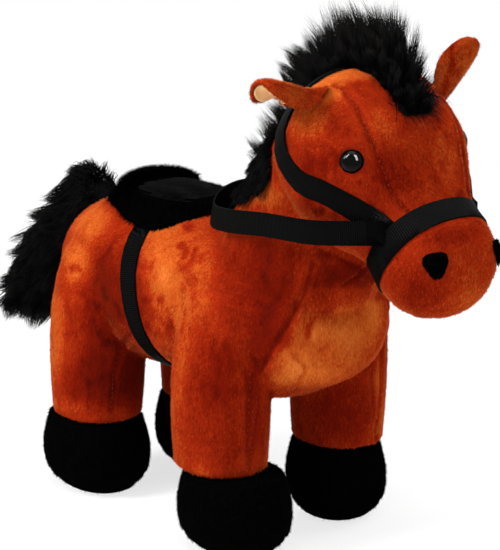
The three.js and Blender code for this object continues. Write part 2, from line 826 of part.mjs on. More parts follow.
// Saddle: a pad with flaps, laid on the back as far down each side as the spread at that place, in degrees
const padRows = 16;
const padColumns = 18;
const padShares = [
  { along: 0.06, spread: 16 },
  { along: 0.1, spread: 31 },
  { along: 0.2, spread: 39 },
  { along: 0.3, spread: 45 },
  { along: 0.4, spread: 47 },
  { along: 0.47, spread: 41 },
  { along: 0.52, spread: 26 },
  { along: 0.57, spread: 9 },
];
const padStart = padShares[0].along;
const padEnd = padShares[padShares.length - 1].along;
const torsoSpan = rumpReach + chestReach;
const backForms = [torso, neck];

function onBack(share, turn, lift) {
  const core = new THREE.Vector3(0, rumpReach - share * torsoSpan, torso.from.z);
  const seat = seatPoint(backForms, core, new THREE.Vector3(Math.sin(turn), 0, Math.cos(turn)));
  return seat.addScaledVector(skinNormal(backForms, seat), lift);
}

const spreadAt = (share) => THREE.MathUtils.degToRad(shareAt(padShares, 'spread', share));

function padHeight(share, turn) {
  const out = Math.min(Math.abs(turn / spreadAt(share)), 1);
  const along = Math.min(Math.abs(((share - padStart) / (padEnd - padStart)) * 2 - 1), 1);
  return padEdge + (padThick - padEdge) * (1 - out ** 4) * (1 - along ** 8);
}

function padGeometry(grow) {
  const share = (u) => {
    const reach = grow / torsoSpan;
    return padStart - reach + (padEnd - padStart + reach * 2) * u;
  };
  const turn = (u, v) => (v * 2 - 1) * (spreadAt(share(u)) + grow / (torsoDepth / 2));
  const under = (u, v) => onBack(share(u), turn(u, v), clothGap - grow);
  const over = (u, v) => onBack(share(u), turn(u, v), clothGap + padHeight(share(u), turn(u, v)) + grow);
  return layerGeometry(padColumns, padRows, over, under);
}

// The smoother seat on the pad: a crowned panel
const seatRows = 8;
const seatColumns = 8;
const seatStart = 0.19;
const seatEnd = 0.45;
const seatSpread = THREE.MathUtils.degToRad(25);

const crownOf = (t, power) => 1 - Math.abs(t * 2 - 1) ** power;

function seatGeometry() {
  const share = (u) => seatStart + (seatEnd - seatStart) * u;
  const turn = (u, v) => (v * 2 - 1) * seatSpread * (0.72 + 0.28 * Math.sqrt(crownOf(u, 2)));
  const lift = (u, v) => clothGap * 2 + padHeight(share(u), turn(u, v));
  const thick = (u, v) => seatEdge + (seatThick - seatEdge) * crownOf(u, 4) * crownOf(v, 4);
  const under = (u, v) => onBack(share(u), turn(u, v), lift(u, v));
  const over = (u, v) => onBack(share(u), turn(u, v), lift(u, v) + thick(u, v));
  return layerGeometry(seatColumns, seatRows, over, under);
}

// The cantle: a stuffed roll across the back behind the seat, with its ends swept forward
const cantleColumns = 14;
const cantleRows = 6;
const cantlePlace = 0.125;
const cantleSpread = THREE.MathUtils.degToRad(28);

function cantleGeometry() {
  const middle = (u) => cantlePlace + (cantleSweep / torsoSpan) * (u * 2 - 1) ** 2;
  const share = (u, v) => middle(u) + ((v - 0.5) * cantleWidth) / torsoSpan;
  const turn = (u) => (u * 2 - 1) * cantleSpread;
  const lift = (u, v) => clothGap * 2 + padHeight(share(u, v), turn(u));
  const swell = (u) => 0.45 + 0.55 * Math.sqrt(crownOf(u, 4));
  const thick = (u, v) => cantleEdge + (cantleHeight - cantleEdge) * Math.sqrt(crownOf(v, 2)) * swell(u);
  const under = (u, v) => onBack(share(u, v), turn(u), lift(u, v));
  const over = (u, v) => onBack(share(u, v), turn(u), lift(u, v) + thick(u, v));
  return layerGeometry(cantleColumns, cantleRows, under, over);
}

function addSaddle() {
  const seat = seatGeometry();
  addPiece('saddle_pad', padGeometry(0), blackPlush());
  addPiece('saddle_seat', seat, blackPlush());
  addPiece('saddle_cantle', cutBy(cantleGeometry(), [seat]), blackPlush());
}

// Ears: a leaf that is flat at its foot and curls more and more towards its tip
const earCurl = THREE.MathUtils.degToRad(80);
const earRows = 8;
const earPlaces = [0, 0.03, 0.1, 0.2, 0.32, 0.45, 0.58, 0.7, 0.81, 0.9, 0.96, 1];
const liningPlaces = [0.12, 0.2, 0.32, 0.45, 0.58, 0.7, 0.81, 0.89, 0.94];
const earTurnShare = 0.3; // of the ear's length, over which its width turns away from the seam
const earShares = [
  { along: 0, wide: 0.7, curl: 0.1, thick: 0.3 },
  { along: 0.03, wide: 0.74, curl: 0.14, thick: 0.62 },
  { along: 0.12, wide: 0.84, curl: 0.3, thick: 0.85 },
  { along: 0.3, wide: 0.98, curl: 0.6, thick: 1 },
  { along: 0.5, wide: 1, curl: 0.88, thick: 1 },
  { along: 0.75, wide: 0.85, curl: 1, thick: 1 },
  { along: 0.9, wide: 0.6, curl: 0.95, thick: 0.9 },
  { along: 1, wide: 0.24, curl: 0.7, thick: 0.5 },
];

// Each ear points its own way: out is its length, open the way that its hollow faces, and seam the line that
// it is sewn along and bends about. place and turn say where it stands on the head.
const earLooks = {
  right: {
    place: -0.333,
    turn: 33,
    out: [-0.93, -0.08, 0.33],
    open: [-0.2, 0.3, -0.93],
    tipOpen: [-0.3, -0.3, -0.9],
    seam: [-0.56, 0.64, -0.52],
    long: rightEarLength,
    bow: rightEarBow,
  },
  left: {
    place: -0.15,
    turn: 20,
    out: [0.8, -0.2, 0.6],
    open: [-0.3, 0.85, 0.2],
    tipOpen: [-0.4, 0.75, 0.45],
    seam: [0.55, 0.5, -0.67],
    long: leftEarLength,
    bow: leftEarBow,
  },
};

function earFrame(side) {
  const look = earLooks[side.name];
  const right = side.sign < 0;
  const turn = THREE.MathUtils.degToRad(look.turn);
  const skull = skinPoint(head, look.place, right ? Math.PI - turn : turn);
  const outward = skinNormal([head], skull);
  const out = new THREE.Vector3(...look.out).normalize();
  const seam = new THREE.Vector3(...look.seam);
  seam.addScaledVector(outward, -seam.dot(outward)).normalize();
  return {
    out,
    open: new THREE.Vector3(...look.open),
    tipOpen: new THREE.Vector3(...look.tipOpen),
    seam,
    long: look.long,
    bow: look.bow,
    hinge: skull.addScaledVector(outward, earHingeLift),
  };
}

function earPoint(ear, along, side, lift, inset) {
  const half = (earWidth / 2) * shareAt(earShares, 'wide', along) - inset;
  const curl = earCurl * shareAt(earShares, 'curl', along);
  const radius = half / curl;
  const open = ear.open.clone().lerp(ear.tipOpen, along);
  open.addScaledVector(ear.out, -open.dot(ear.out)).normalize();
  const wide = open.clone().cross(ear.out);
  if (wide.dot(ear.seam) < 0) wide.negate();
  const sideways = ear.seam.clone().lerp(wide, Math.min(along / earTurnShare, 1)).normalize();
  return ear.hinge.clone()
    .addScaledVector(ear.out, (ear.long + earHeel) * along - earHeel)
    .addScaledVector(sideways, (radius - lift) * Math.sin(curl * side))
    .addScaledVector(open, radius - (radius - lift) * Math.cos(curl * side) + ear.bow * along ** 2);
}

function earLayer(ear, places, low, high, inset) {
  const last = places.length - 1;
  const at = (lift) => (u, v) => {
    const along = places[Math.round(u * last)];
    return earPoint(ear, along, v * 2 - 1, lift(along, crownOf(v, 4)), inset);
  };
  return layerGeometry(last, earRows, at(high), at(low));
}

function addEars() {
  const skull = formGeometry(head, seamGap);
  sides.forEach((side) => {
    const ear = earFrame(side);
    const fullThick = (along) => earOuterThick * shareAt(earShares, 'thick', along);
    const thick = (along, crown) => fullThick(along) * (0.5 + 0.5 * crown);
    const centred = (along) => 0.5 * Math.max(1 - along / liningPlaces[0], 0);
    const low = (along, crown) => thick(along, crown) * (centred(along) - 1);
    const high = (along, crown) => thick(along, crown) * centred(along);
    const outer = earLayer(ear, earPlaces, low, high, 0);
    const liningTop = seamGap + earLiningThick;
    const lining = earLayer(ear, liningPlaces, () => seamGap, () => liningTop, earLiningInset);
    addPiece(`ear_outer_${side.name}`, cutBy(outer, [skull]), plush());
    addPiece(`ear_lining_${side.name}`, lining, satin());
  });
}

// Mane: solid forms for the long pile, standing on the head, the nape and the withers
const crestColumns = 16;
const crestRows = 6;
// fan is the angle up from straight ahead, in degrees
const crestShares = [
  { along: 0, fan: 34, tall: 0.16 },
  { along: 0.1, fan: 46, tall: 0.56 },
  { along: 0.25, fan: 64, tall: 1 },
  { along: 0.4, fan: 85, tall: 1.05 },
  { along: 0.56, fan: 106, tall: 1 },
  { along: 0.7, fan: 121, tall: 0.98 },
  { along: 0.84, fan: 136, tall: 1.1 },
  { along: 0.93, fan: 148, tall: 1.12 },
  { along: 1, fan: 158, tall: 0.8 },
];
const crestCore = new THREE.Vector3(0, -skullReach - crestCoreAhead, skullHeight - crestCoreDrop);
const pileEdge = 0.18;
const domeOf = (v) => pileEdge + (1 - pileEdge) * Math.sqrt(crownOf(v, 2));

function crestGeometry(grow) {
  const place = (u, v, extra) => {
    const spread = ((u * 2 - 1) * grow) / crestCoreLift;
    const fan = THREE.MathUtils.degToRad(shareAt(crestShares, 'fan', u)) + spread;
    const heading = new THREE.Vector3(0, -Math.cos(fan), Math.sin(fan));
    const core = crestCore.clone().setX((v - 0.5) * (crestWidth + grow * 2));
    return seatPoint([head], core, heading).addScaledVector(heading, clothGap + extra);
  };
  const tall = (u, v) => crestLength * shareAt(crestShares, 'tall', u) * domeOf(v) + grow;
  const over = (u, v) => place(u, v, tall(u, v));
  const under = (u, v) => place(u, v, -grow);
  return layerGeometry(crestColumns, crestRows, over, under);
}

// A strip of pile down the back of the neck
const napeColumns = 10;
const napeRows = 4;
const napeShares = [
  { along: 0, tall: 0.3 },
  { along: 0.15, tall: 0.8 },
  { along: 0.4, tall: 1 },
  { along: 0.75, tall: 0.9 },
  { along: 1, tall: 0.35 },
];
const napeStartTurn = THREE.MathUtils.degToRad(28);
const napeEndTurn = THREE.MathUtils.degToRad(34);
const poll = station(head, 0).centre;
const napeFoot = station(neck, 0.36).centre;

function stripOnNape(columns, rows, { from, to, width, tall, grow = 0 }) {
  const forms = [head, neck, torso];
  const place = (u, v, extra) => {
    const turn = from.turn + (to.turn - from.turn) * u;
    const heading = new THREE.Vector3(0, Math.cos(turn), Math.sin(turn));
    const reach = 1 + grow / from.core.distanceTo(to.core);
    const core = from.core.clone().lerp(to.core, u * reach).setX((v - 0.5) * (width + grow * 2));
    return seatPoint(forms, core, heading).addScaledVector(heading, clothGap + extra);
  };
  const over = (u, v) => place(u, v, tall(u, v) + grow);
  const under = (u, v) => place(u, v, -grow);
  return layerGeometry(columns, rows, over, under);
}

const napeGeometry = (grow) => stripOnNape(napeColumns, napeRows, {
  from: { core: poll, turn: napeStartTurn },
  to: { core: napeFoot, turn: napeEndTurn },
  width: napeWidth,
  grow,
  tall: (u, v) => napeLength * shareAt(napeShares, 'tall', u) * domeOf(v),
});

// The short pile between the mane and the saddle
const withersColumns = 8;
const withersTurn = THREE.MathUtils.degToRad(85);
const withersFoot = new THREE.Vector3(0, -withersReach, torso.from.z);

const withersGeometry = () => stripOnNape(withersColumns, napeRows, {
  from: { core: napeFoot, turn: napeEndTurn },
  to: { core: withersFoot, turn: withersTurn },
  width: withersWidth,
  tall: (u, v) => withersThick * domeOf(v),
});

function addMane() {
  const headpiece = headpieceSolid(seamGap);
  const neckCutter = formGeometry(neck, seamGap);
  const napeCutters = [neckCutter, headpiece, crestGeometry(seamGap)];
  const withersCutters = [neckCutter, napeGeometry(seamGap), padGeometry(seamGap)];
  addPiece('mane_crown', cutBy(crestGeometry(0), [neckCutter, headpiece]), longPile());
  addPiece('mane_nape', cutBy(napeGeometry(0), napeCutters), longPile());
  addPiece('mane_withers', cutBy(withersGeometry(), withersCutters), longPile());
}

// Reins: one ribbon that leaves the noseband on each side and loops over the withers.
// back, out, dip and flat are shares of the loop's length, half-width, sag and turn onto its flat side.
const reinColumns = 48;
const reinRows = 2;
const reinStartShare = 0.8;
const reinStartTurn = 0.1 * Math.PI;
const reinLean = THREE.MathUtils.degToRad(62);
const reinLift = 30; // degrees that the loop lifts by
const reinShares = [
  { back: 0.2, out: 0.97, dip: 0.1, flat: 0 },
  { back: 0.44, out: 1, dip: 0.2, flat: 0 },
  { back: 0.66, out: 0.96, dip: 0.6, flat: 0.05 },
  { back: 0.84, out: 0.74, dip: 0.9, flat: 0.4 },
  { back: 0.96, out: 0.38, dip: 0.3, flat: 0.85 },
  { back: 1, out: 0, dip: 0, flat: 1 },
];

function reinJunction(side) {
  const core = station(head, reinStartShare).centre;
  const turn = side.sign > 0 ? reinStartTurn : Math.PI - reinStartTurn;
  const seat = seatPoint([head], core, skinPoint(head, reinStartShare, turn).sub(core));
  const lift = clothGap + ribbonThick + seamGap + reinRise;
  return seat.addScaledVector(skinNormal([head], seat), lift);
}

const reinTopAcross = new THREE.Vector3(0, -Math.cos(reinLean), Math.sin(reinLean));

function reinTop() {
  const core = new THREE.Vector3(0, -reinBack, torso.from.z);
  const seat = seatPoint(backForms, core, new THREE.Vector3(0, 0, 1));
  seat.z += clothGap + withersThick + seamGap + ribbonThick;
  return seat.addScaledVector(reinTopAcross, ribbonWidth / 2);
}

// The stations of the loop from the right junction over the withers to the left one
function reinStations() {
  const top = reinTop();
  return sides.flatMap((side) => {
    const start = reinJunction(side);
    const rows = reinShares.map((row) => ({
      point: new THREE.Vector3(
        side.sign * reinOut * row.out,
        start.y + (top.y - start.y) * row.back,
        start.z + (top.z - start.z) * row.back - reinDip * row.dip,
      ),
      flat: row.flat,
    }));
    rows.unshift({ point: start, flat: 0 });
    return side.sign < 0 ? rows : rows.slice(0, -1).reverse();
  });
}

function reinGeometry() {
  const stations = reinStations();
  const curve = new THREE.CatmullRomCurve3(stations.map(({ point }) => point), false, 'centripetal');
  const last = stations.length - 1;
  const frame = (u) => {
    const t = u * last;
    const i = Math.min(Math.floor(t), last - 1);
    const flat = stations[i].flat + (stations[i + 1].flat - stations[i].flat) * (t - i);
    const travel = curve.getTangent(u);
    const wide = new THREE.Vector3(0, 0, 1).lerp(reinTopAcross, flat);
    wide.addScaledVector(travel, -wide.dot(travel)).normalize();
    return { point: curve.getPoint(u), wide, outward: wide.clone().cross(travel) };
  };
  const face = (lift) => (u, v) => {
    const { point, wide, outward } = frame(u);
    return point.addScaledVector(wide, (v - 0.5) * ribbonWidth).addScaledVector(outward, lift);
  };
  return layerGeometry(reinColumns, reinRows, face(ribbonThick / 2), face(-ribbonThick / 2));
}

function addReins() {
  const junction = reinJunction(sides[0]);
  const lifts = [0, reinLift / 3, (reinLift * 2) / 3, reinLift];
  const nosebandAt = (degrees) => metAfterTurn(nosebandSolid(seamGap), junction, across, degrees);
  addPiece('reins', cutBy(reinGeometry(), lifts.map(nosebandAt)), ribbon());
}

// Tail: a tab sewn to the rump, the woven backing that hangs on it, and the plume of pile round the backing
const tailSwing = 25; // degrees each way
const tailRootTurn = THREE.MathUtils.degToRad(33);
const rootCore = new THREE.Vector3(0, rumpReach / 2, torso.from.z);
const rootHeading = new THREE.Vector3(0, Math.cos(tailRootTurn), Math.sin(tailRootTurn));
const tailRoot = seatPoint([torso], rootCore, rootHeading);
const tailPivot = tailRoot.clone().add(new THREE.Vector3(0, tabWidth / 2 + seamGap, 0));
const tailHinge = tailPivot.clone().add(new THREE.Vector3(0, tabLength, 0));
const tailTip = new THREE.Vector3(0, tailTipReach, tailTipHeight);
const tailRun = tailTip.clone().sub(tailHinge).normalize();
const tailStart = tabThick / 2 + seamGap + tailRootRound; // from the hinge to the plume's first station

const tail = stuffedForm({
  from: tailHinge.clone().addScaledVector(tailRun, tailStart),
  to: tailTip,
  width: tailWidth,
  depth: tailDepth,
  shares: tailShares,
  fromRound: tailRootRound,
  toRound: tailTipRound,
  fullness: 2,
  around: 20,
  rings: 12,
  caps: 3,
});

const backingForm = (grow) => stuffedForm({
  from: tail.from.clone(),
  to: tail.from.clone().addScaledVector(tail.run, backingLength),
  width: backingWidth + grow * 2,
  depth: backingThick + grow * 2,
  shares: backingShares,
  fromRound: grow ? tailStart : tailRootRound,
  toRound: backingThick / 2 + grow,
  fullness: 5,
  around: 16,
  rings: 5,
  caps: 1,
});

const tab = stuffedForm({
  from: tailPivot,
  to: tailHinge,
  width: tabWidth,
  depth: tabThick,
  shares: tabShares,
  fromRound: tabWidth / 2,
  toRound: tabThick / 2,
  around: 16,
  rings: 2,
  caps: 3,
});

function addTail() {
  const swings = [-tailSwing, -tailSwing / 2, 0, tailSwing / 2, tailSwing];
  const torsoAt = (degrees) => metAfterTurn(formGeometry(torso, seamGap), tailPivot, upright, degrees);
  addPiece('tail_tab', cutBy(formGeometry(tab), swings.map(torsoAt)), woven());
  addPiece('tail_backing', formGeometry(backingForm(0)), woven());
  addPiece('tail_pile', cutBy(formGeometry(tail), [formGeometry(backingForm(seamGap))]), longPile());
}

addBody(sides.map(eyePocket));
addLegs();
addEyes();
addNostrils();
addStraps();
addSaddle();
addEars();
addMane();
addReins();
addTail();

// The forms are laid out from the middle of the stance; the origin moves to the middle of the whole length.
const middle = new THREE.Box3().setFromObject(horse).getCenter(new THREE.Vector3());
horse.children.forEach((mesh) => mesh.geometry.translate(0, -middle.y, 0));

export default horse;
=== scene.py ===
"""A stuffed plush horse with saddle and bridle: its skins, pile, ribbons and eyes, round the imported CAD"""
import math

import bmesh
import bpy
import numpy as np
from mathutils import Matrix, Vector, noise
from mathutils.bvhtree import BVHTree


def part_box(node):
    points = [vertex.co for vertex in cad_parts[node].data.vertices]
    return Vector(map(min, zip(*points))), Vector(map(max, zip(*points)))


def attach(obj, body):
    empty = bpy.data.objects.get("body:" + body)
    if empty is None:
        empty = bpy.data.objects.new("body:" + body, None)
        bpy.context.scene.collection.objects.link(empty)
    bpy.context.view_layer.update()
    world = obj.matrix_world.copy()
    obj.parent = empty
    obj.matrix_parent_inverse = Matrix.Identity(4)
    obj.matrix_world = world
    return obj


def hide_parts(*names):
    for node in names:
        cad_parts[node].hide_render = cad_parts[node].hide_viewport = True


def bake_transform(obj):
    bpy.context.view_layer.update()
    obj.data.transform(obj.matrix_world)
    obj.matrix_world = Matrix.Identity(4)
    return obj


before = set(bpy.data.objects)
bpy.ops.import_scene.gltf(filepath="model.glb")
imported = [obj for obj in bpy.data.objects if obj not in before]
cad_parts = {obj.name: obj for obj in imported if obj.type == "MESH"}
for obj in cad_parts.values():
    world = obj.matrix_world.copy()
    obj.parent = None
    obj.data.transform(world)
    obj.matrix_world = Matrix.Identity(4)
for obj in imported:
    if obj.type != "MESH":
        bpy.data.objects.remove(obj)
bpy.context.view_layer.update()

MM = 0.001
FULL_TURN = 2 * math.pi
SIDES = ("right", "left")
LEGS = [f"{end}_{side}" for end in ("front", "rear") for side in SIDES]

# The photograph's camera
IMAGE_WIDTH, IMAGE_HEIGHT = 500, 550
SENSOR = 36.0
LENS = 148.8
CAMERA_AZIMUTH = math.radians(-39.29)
CAMERA_ELEVATION = math.radians(15)
CAMERA_REACH = 1250 * MM
CAMERA_TARGET = Vector((23.87, -3.09, 123.38)) * MM

away = Vector((
    math.sin(CAMERA_AZIMUTH) * math.cos(CAMERA_ELEVATION),
    -math.cos(CAMERA_AZIMUTH) * math.cos(CAMERA_ELEVATION),
    math.sin(CAMERA_ELEVATION),
))
camera_place = CAMERA_TARGET + away * CAMERA_REACH
camera_turn = away.to_track_quat("Z", "Y")


def add_camera():
    camera = bpy.data.objects.new("camera", bpy.data.cameras.new("camera"))
    camera.data.lens = LENS
    camera.data.sensor_width = SENSOR
    camera.location = camera_place
    camera.rotation_euler = camera_turn.to_euler()
    bpy.context.scene.collection.objects.link(camera)
    bpy.context.scene.camera = camera


def sight(pixel):
    """The way that the camera looks through a pixel of the photograph"""
    x, y = pixel
    across = (x - IMAGE_WIDTH / 2) / IMAGE_HEIGHT * SENSOR / LENS
    down = (y - IMAGE_HEIGHT / 2) / IMAGE_HEIGHT * SENSOR / LENS
    return (camera_turn @ Vector((across, -down, -1))).normalized()


def in_picture(points):
    """The pixel of the photograph that shows each point, and how far it is from the camera"""
    turn = np.array(camera_turn.to_matrix())
    seen = (points - np.array(camera_place)) @ turn
    scale = IMAGE_HEIGHT * LENS / SENSOR / -seen[:, 2]
    pixels = np.stack([IMAGE_WIDTH / 2 + seen[:, 0] * scale, IMAGE_HEIGHT / 2 - seen[:, 1] * scale], 1)
    return pixels, np.linalg.norm(points - np.array(camera_place), axis=1)


# Meshes
MERGE_REACH = 0.002 * MM
BAKE_CORNERS = ((0.15, 0.15), (0.85, 0.15), (0.5, 0.85))  # of a face in its cell
STEP_IN, STEP_OUT = 0.5, 0.53  # towards the middle of a vertex's neighbours, and back away from it
RELAX_ROUNDS = 4
SHORTEST = 1e-9  # keeps a way with no length from being divided by nothing
CHUNK = 1000  # points measured at a time


def cad_shape(*nodes):
    """A merged copy of CAD nodes"""
    shape = bmesh.new()
    for node in nodes:
        shape.from_mesh(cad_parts[node].data)
    bmesh.ops.remove_doubles(shape, verts=shape.verts, dist=MERGE_REACH)
    return shape


def grown(shape, distance):
    """The same shape, with every vertex moved out along its normal"""
    shape.normal_update()
    for vert in shape.verts:
        vert.co += vert.normal * distance
    return shape


def mesh_of(shape):
    """A mesh made of a shape, which is used up"""
    mesh = bpy.data.meshes.new("draft")
    shape.to_mesh(mesh)
    shape.free()
    return mesh


def remeshed(shape, voxel):
    """A shape's outer surface, as even faces of a voxel's size"""
    draft = bpy.data.objects.new("draft", mesh_of(shape))
    bpy.context.scene.collection.objects.link(draft)
    remesh = draft.modifiers.new("voxels", "REMESH")
    remesh.mode = "VOXEL"
    remesh.voxel_size = voxel
    seen = draft.evaluated_get(bpy.context.evaluated_depsgraph_get())
    mesh = bpy.data.meshes.new_from_object(seen)
    bpy.data.objects.remove(draft)
    return mesh


def read(items, field, kind=np.float64, width=3):
    """One field of a mesh's vertices, edges or triangles, with a row for each"""
    values = np.empty(len(items) * width, kind)
    items.foreach_get(field, values)
    return values.reshape(-1, width)


def unit(vectors):
    return vectors / np.maximum(np.linalg.norm(vectors, axis=1), SHORTEST)[:, None]


def along_surface(flow, outward):
    """What is left of each flow when its part along the outward way is taken off"""
    return flow - outward * (flow * outward).sum(1)[:, None]


def smoothed(points, edges, rounds):
    """Rounds of smoothing that keep the volume: each step in is followed by a slightly longer step out."""
    degree = np.bincount(edges.ravel(), minlength=len(points))[:, None]
    for step in (STEP_IN, -STEP_OUT) * rounds:
        total = np.empty_like(points)
        for axis in range(3):
            total[:, axis] = np.bincount(edges[:, 0], points[edges[:, 1], axis], len(points))
            total[:, axis] += np.bincount(edges[:, 1], points[edges[:, 0], axis], len(points))
        points = points + step * (total / degree - points)
    return points


def set_points(mesh, points):
    mesh.vertices.foreach_set("co", points.ravel())
    mesh.update()


def relax(mesh, rounds):
    points = read(mesh.vertices, "co")
    edges = read(mesh.edges, "vertices", np.int32, 2)
    set_points(mesh, smoothed(points, edges, rounds))


def cover(nodes, growth, voxel, rounds=RELAX_ROUNDS):
    """One smooth skin over CAD nodes, grown outwards"""
    mesh = remeshed(grown(cad_shape(*nodes), growth), voxel)
    relax(mesh, rounds)
    return mesh


def refined(shape, rounds):
    """A smoother copy of a shape: its edges halved, then relaxed"""
    bmesh.ops.subdivide_edges(shape, edges=shape.edges, cuts=1, use_grid_fill=True)
    mesh = mesh_of(shape)
    relax(mesh, rounds)
    return mesh


def strand_mesh(name, points, order):
    """One mesh of many like strands. Each has one cell of a square grid to bake in, which its faces share."""
    total, each = points.shape[:2]
    triangles = (np.arange(total) * each)[:, None, None] + np.array(order)
    mesh = bpy.data.meshes.new(name)
    mesh.vertices.add(total * each)
    mesh.vertices.foreach_set("co", points.astype(np.float32).ravel())
    mesh.loops.add(triangles.size)
    mesh.loops.foreach_set("vertex_index", triangles.ravel().astype(np.int32))
    mesh.polygons.add(total * len(order))
    mesh.polygons.foreach_set("loop_start", np.arange(0, triangles.size, 3, dtype=np.int32))
    mesh.update(calc_edges=True)
    cells = math.ceil(math.sqrt(total))
    index = np.arange(total)
    corner = np.stack([index % cells, index // cells], 1)[:, None, None, :]
    uvs = np.broadcast_to((corner + np.array(BAKE_CORNERS)) / cells, (total, len(order), 3, 2))
    mesh.uv_layers.new(name="OFBake").data.foreach_set("uv", uvs.astype(np.float32).ravel())
    return mesh


def tree_of(*meshes):
    """A search tree over meshes"""
    shape = bmesh.new()
    for mesh in meshes:
        shape.from_mesh(mesh)
    tree = BVHTree.FromBMesh(shape)
    shape.free()
    return tree


def cad_tree(*nodes):
    return tree_of(*(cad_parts[node].data for node in nodes))


def distances(tree, points, reach):
    """How far each point is from a search tree, up to reach"""
    far = np.full(len(points), reach)
    for i, point in enumerate(points):
        spot, _, _, distance = tree.find_nearest(Vector(point), reach)
        if spot is not None:
            far[i] = distance
    return far


def chunks(index):
    """Indices in parts that are small enough to measure at once"""
    return np.array_split(index, max(len(index) // CHUNK, 1))


def set_attribute(mesh, name, values):
    mesh.attributes.new(name, "FLOAT", "POINT").data.foreach_set("value", values.astype(np.float32))


def make_piece(name, mesh, body, material, replaces=()):
    """A finished piece that rides on a body; without one it stays free."""
    mesh.name = name
    mesh.materials.clear()
    mesh.materials.append(material)
    mesh.shade_smooth()
    piece = bpy.data.objects.new(name, mesh)
    bpy.context.scene.collection.objects.link(piece)
    if body is not None:
        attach(piece, body)
    if replaces:
        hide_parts(*replaces)
    return piece


# Materials

def colour(code):
    """Linear colour of an sRGB hex code"""
    parts = [int(code[i:i + 2], 16) / 255 for i in (1, 3, 5)]
    return (*(c / 12.92 if c <= 0.04045 else ((c + 0.055) / 1.055) ** 2.4 for c in parts), 1)


def add_node(tree, kind, settings=None, **links):
    """A shader node; settings are its properties or input values, and links feed its inputs."""
    made = tree.nodes.new("ShaderNode" + kind)
    for key, value in (settings or {}).items():
        if key == "stops":
            elements = made.color_ramp.elements
            while len(elements) < len(value):
                elements.new(0.5)
            for element, (place, code) in zip(elements, value):
                element.position = place
                element.color = colour(code)
        elif isinstance(key, str) and hasattr(made, key):
            setattr(made, key, value)
        else:
            made.inputs[key].default_value = value
    for key, source in links.items():
        tree.links.new(source, made.inputs[int(key[1:]) if key[1:].isdigit() else key])
    return made


def new_material(name, settings):
    material = bpy.data.materials.new(name)
    material.use_nodes = True
    shader = material.node_tree.nodes["Principled BSDF"]
    for key, value in settings.items():
        shader.inputs[key].default_value = value
    return material


def patches(tree, size, detail, stretch=(1, 1, 1)):
    """A value from 0 to 1 in soft patches of a real size"""
    place = add_node(tree, "TexCoord").outputs["Object"]
    drawn = add_node(tree, "Mapping", {"Scale": stretch}, Vector=place).outputs["Vector"]
    return add_node(tree, "TexNoise", {"Scale": 1 / size, "Detail": detail}, Vector=drawn).outputs["Fac"]


def tinted(material, stops, value):
    """The material, coloured by a value from 0 to 1"""
    tree = material.node_tree
    ramp = add_node(tree, "ValToRGB", {"stops": stops}, Fac=value).outputs["Color"]
    tree.links.new(ramp, tree.nodes["Principled BSDF"].inputs["Base Color"])
    return material


PLUSH_STOPS = ((0.0, "#460a05"), (0.28, "#651105"), (0.5, "#89220a"), (0.72, "#af521c"), (1.0, "#d97c3c"))
NAP_GRAIN = 1.1 * MM  # bunches of pile
NAP_STRETCH = (1, 1, 0.4)  # bunches are long down the body
GRAIN_SHARE = 0.3  # of the range of tones


def plush_material():
    """Polyester velboa, brushed and crushed: deep where the pile points at the eye, light where it leans; its
    tone attribute also holds painted light and shade
    """
    material = new_material("polyester_plush", {
        "Roughness": 0.9,
        "Specular IOR Level": 0.0,
        "Sheen Weight": 0.3,
        "Sheen Roughness": 0.3,
        "Sheen Tint": colour("#ff8c4a"),
    })
    tree = material.node_tree
    # the tone attribute holds the nap together with painted light and shade
    nap = add_node(tree, "Attribute", {"attribute_name": "nap"}).outputs["Fac"]
    grain = patches(tree, NAP_GRAIN, 2.0, NAP_STRETCH)
    grained = {"operation": "MULTIPLY_ADD", 1: GRAIN_SHARE}
    tone = add_node(tree, "Math", grained, n0=grain, n2=nap).outputs[0]
    lower = add_node(tree, "Math", {"operation": "SUBTRACT", 1: GRAIN_SHARE / 2}, n0=tone).outputs[0]
    return tinted(material, PLUSH_STOPS, lower)


def black_plush_material():
    """Black velboa: it swallows the light, with a faint grey bloom where the pile is seen edge on"""
    material = new_material("black_velboa", {
        "Roughness": 0.9,
        "Specular IOR Level": 0.0,
        "Sheen Weight": 0.008,
        "Sheen Roughness": 0.35,
        "Sheen Tint": colour("#b0acb0"),
    })
    grain = patches(material.node_tree, NAP_GRAIN, 2.0)
    return tinted(material, ((0.3, "#010101"), (0.7, "#050505")), grain)


WORN_PATCH = 7.14 * MM  # patches of nap worn down together
WORN_STRETCH = (1, 0.25, 1)  # patches are long from front to rear


def seat_material():
    """Black velboa with its nap worn short: a dull grey shine along the seat"""
    material = new_material("worn_black_velboa", {
        "Roughness": 0.8,
        "Specular IOR Level": 0.0,
        "Sheen Weight": 0.018,
        "Sheen Roughness": 0.4,
        "Sheen Tint": colour("#c8c6c8"),
    })
    worn = patches(material.node_tree, WORN_PATCH, 3.0, WORN_STRETCH)
    return tinted(material, ((0.35, "#030303"), (0.7, "#0c0c0d")), worn)


def hair_material():
    """Long acrylic pile: black with a dull gloss, and browner towards each tip, where light shines through"""
    material = new_material("acrylic_long_pile", {"Roughness": 0.55, "Specular IOR Level": 0.014})
    along = add_node(material.node_tree, "Attribute", {"attribute_name": "nap"}).outputs["Fac"]
    return tinted(material, ((0.0, "#010101"), (0.6, "#060606"), (1.0, "#1b1512")), along)


def core_material():
    """The dark inside of the long pile, which no light reaches"""
    return new_material("pile_shadow", {
        "Base Color": colour("#020202"),
        "Roughness": 1.0,
        "Specular IOR Level": 0.0,
    })


RIB_PITCH = 1.15 * MM  # coarser than real ribs, which would not show
RIB_HEIGHT = 0.25 * MM


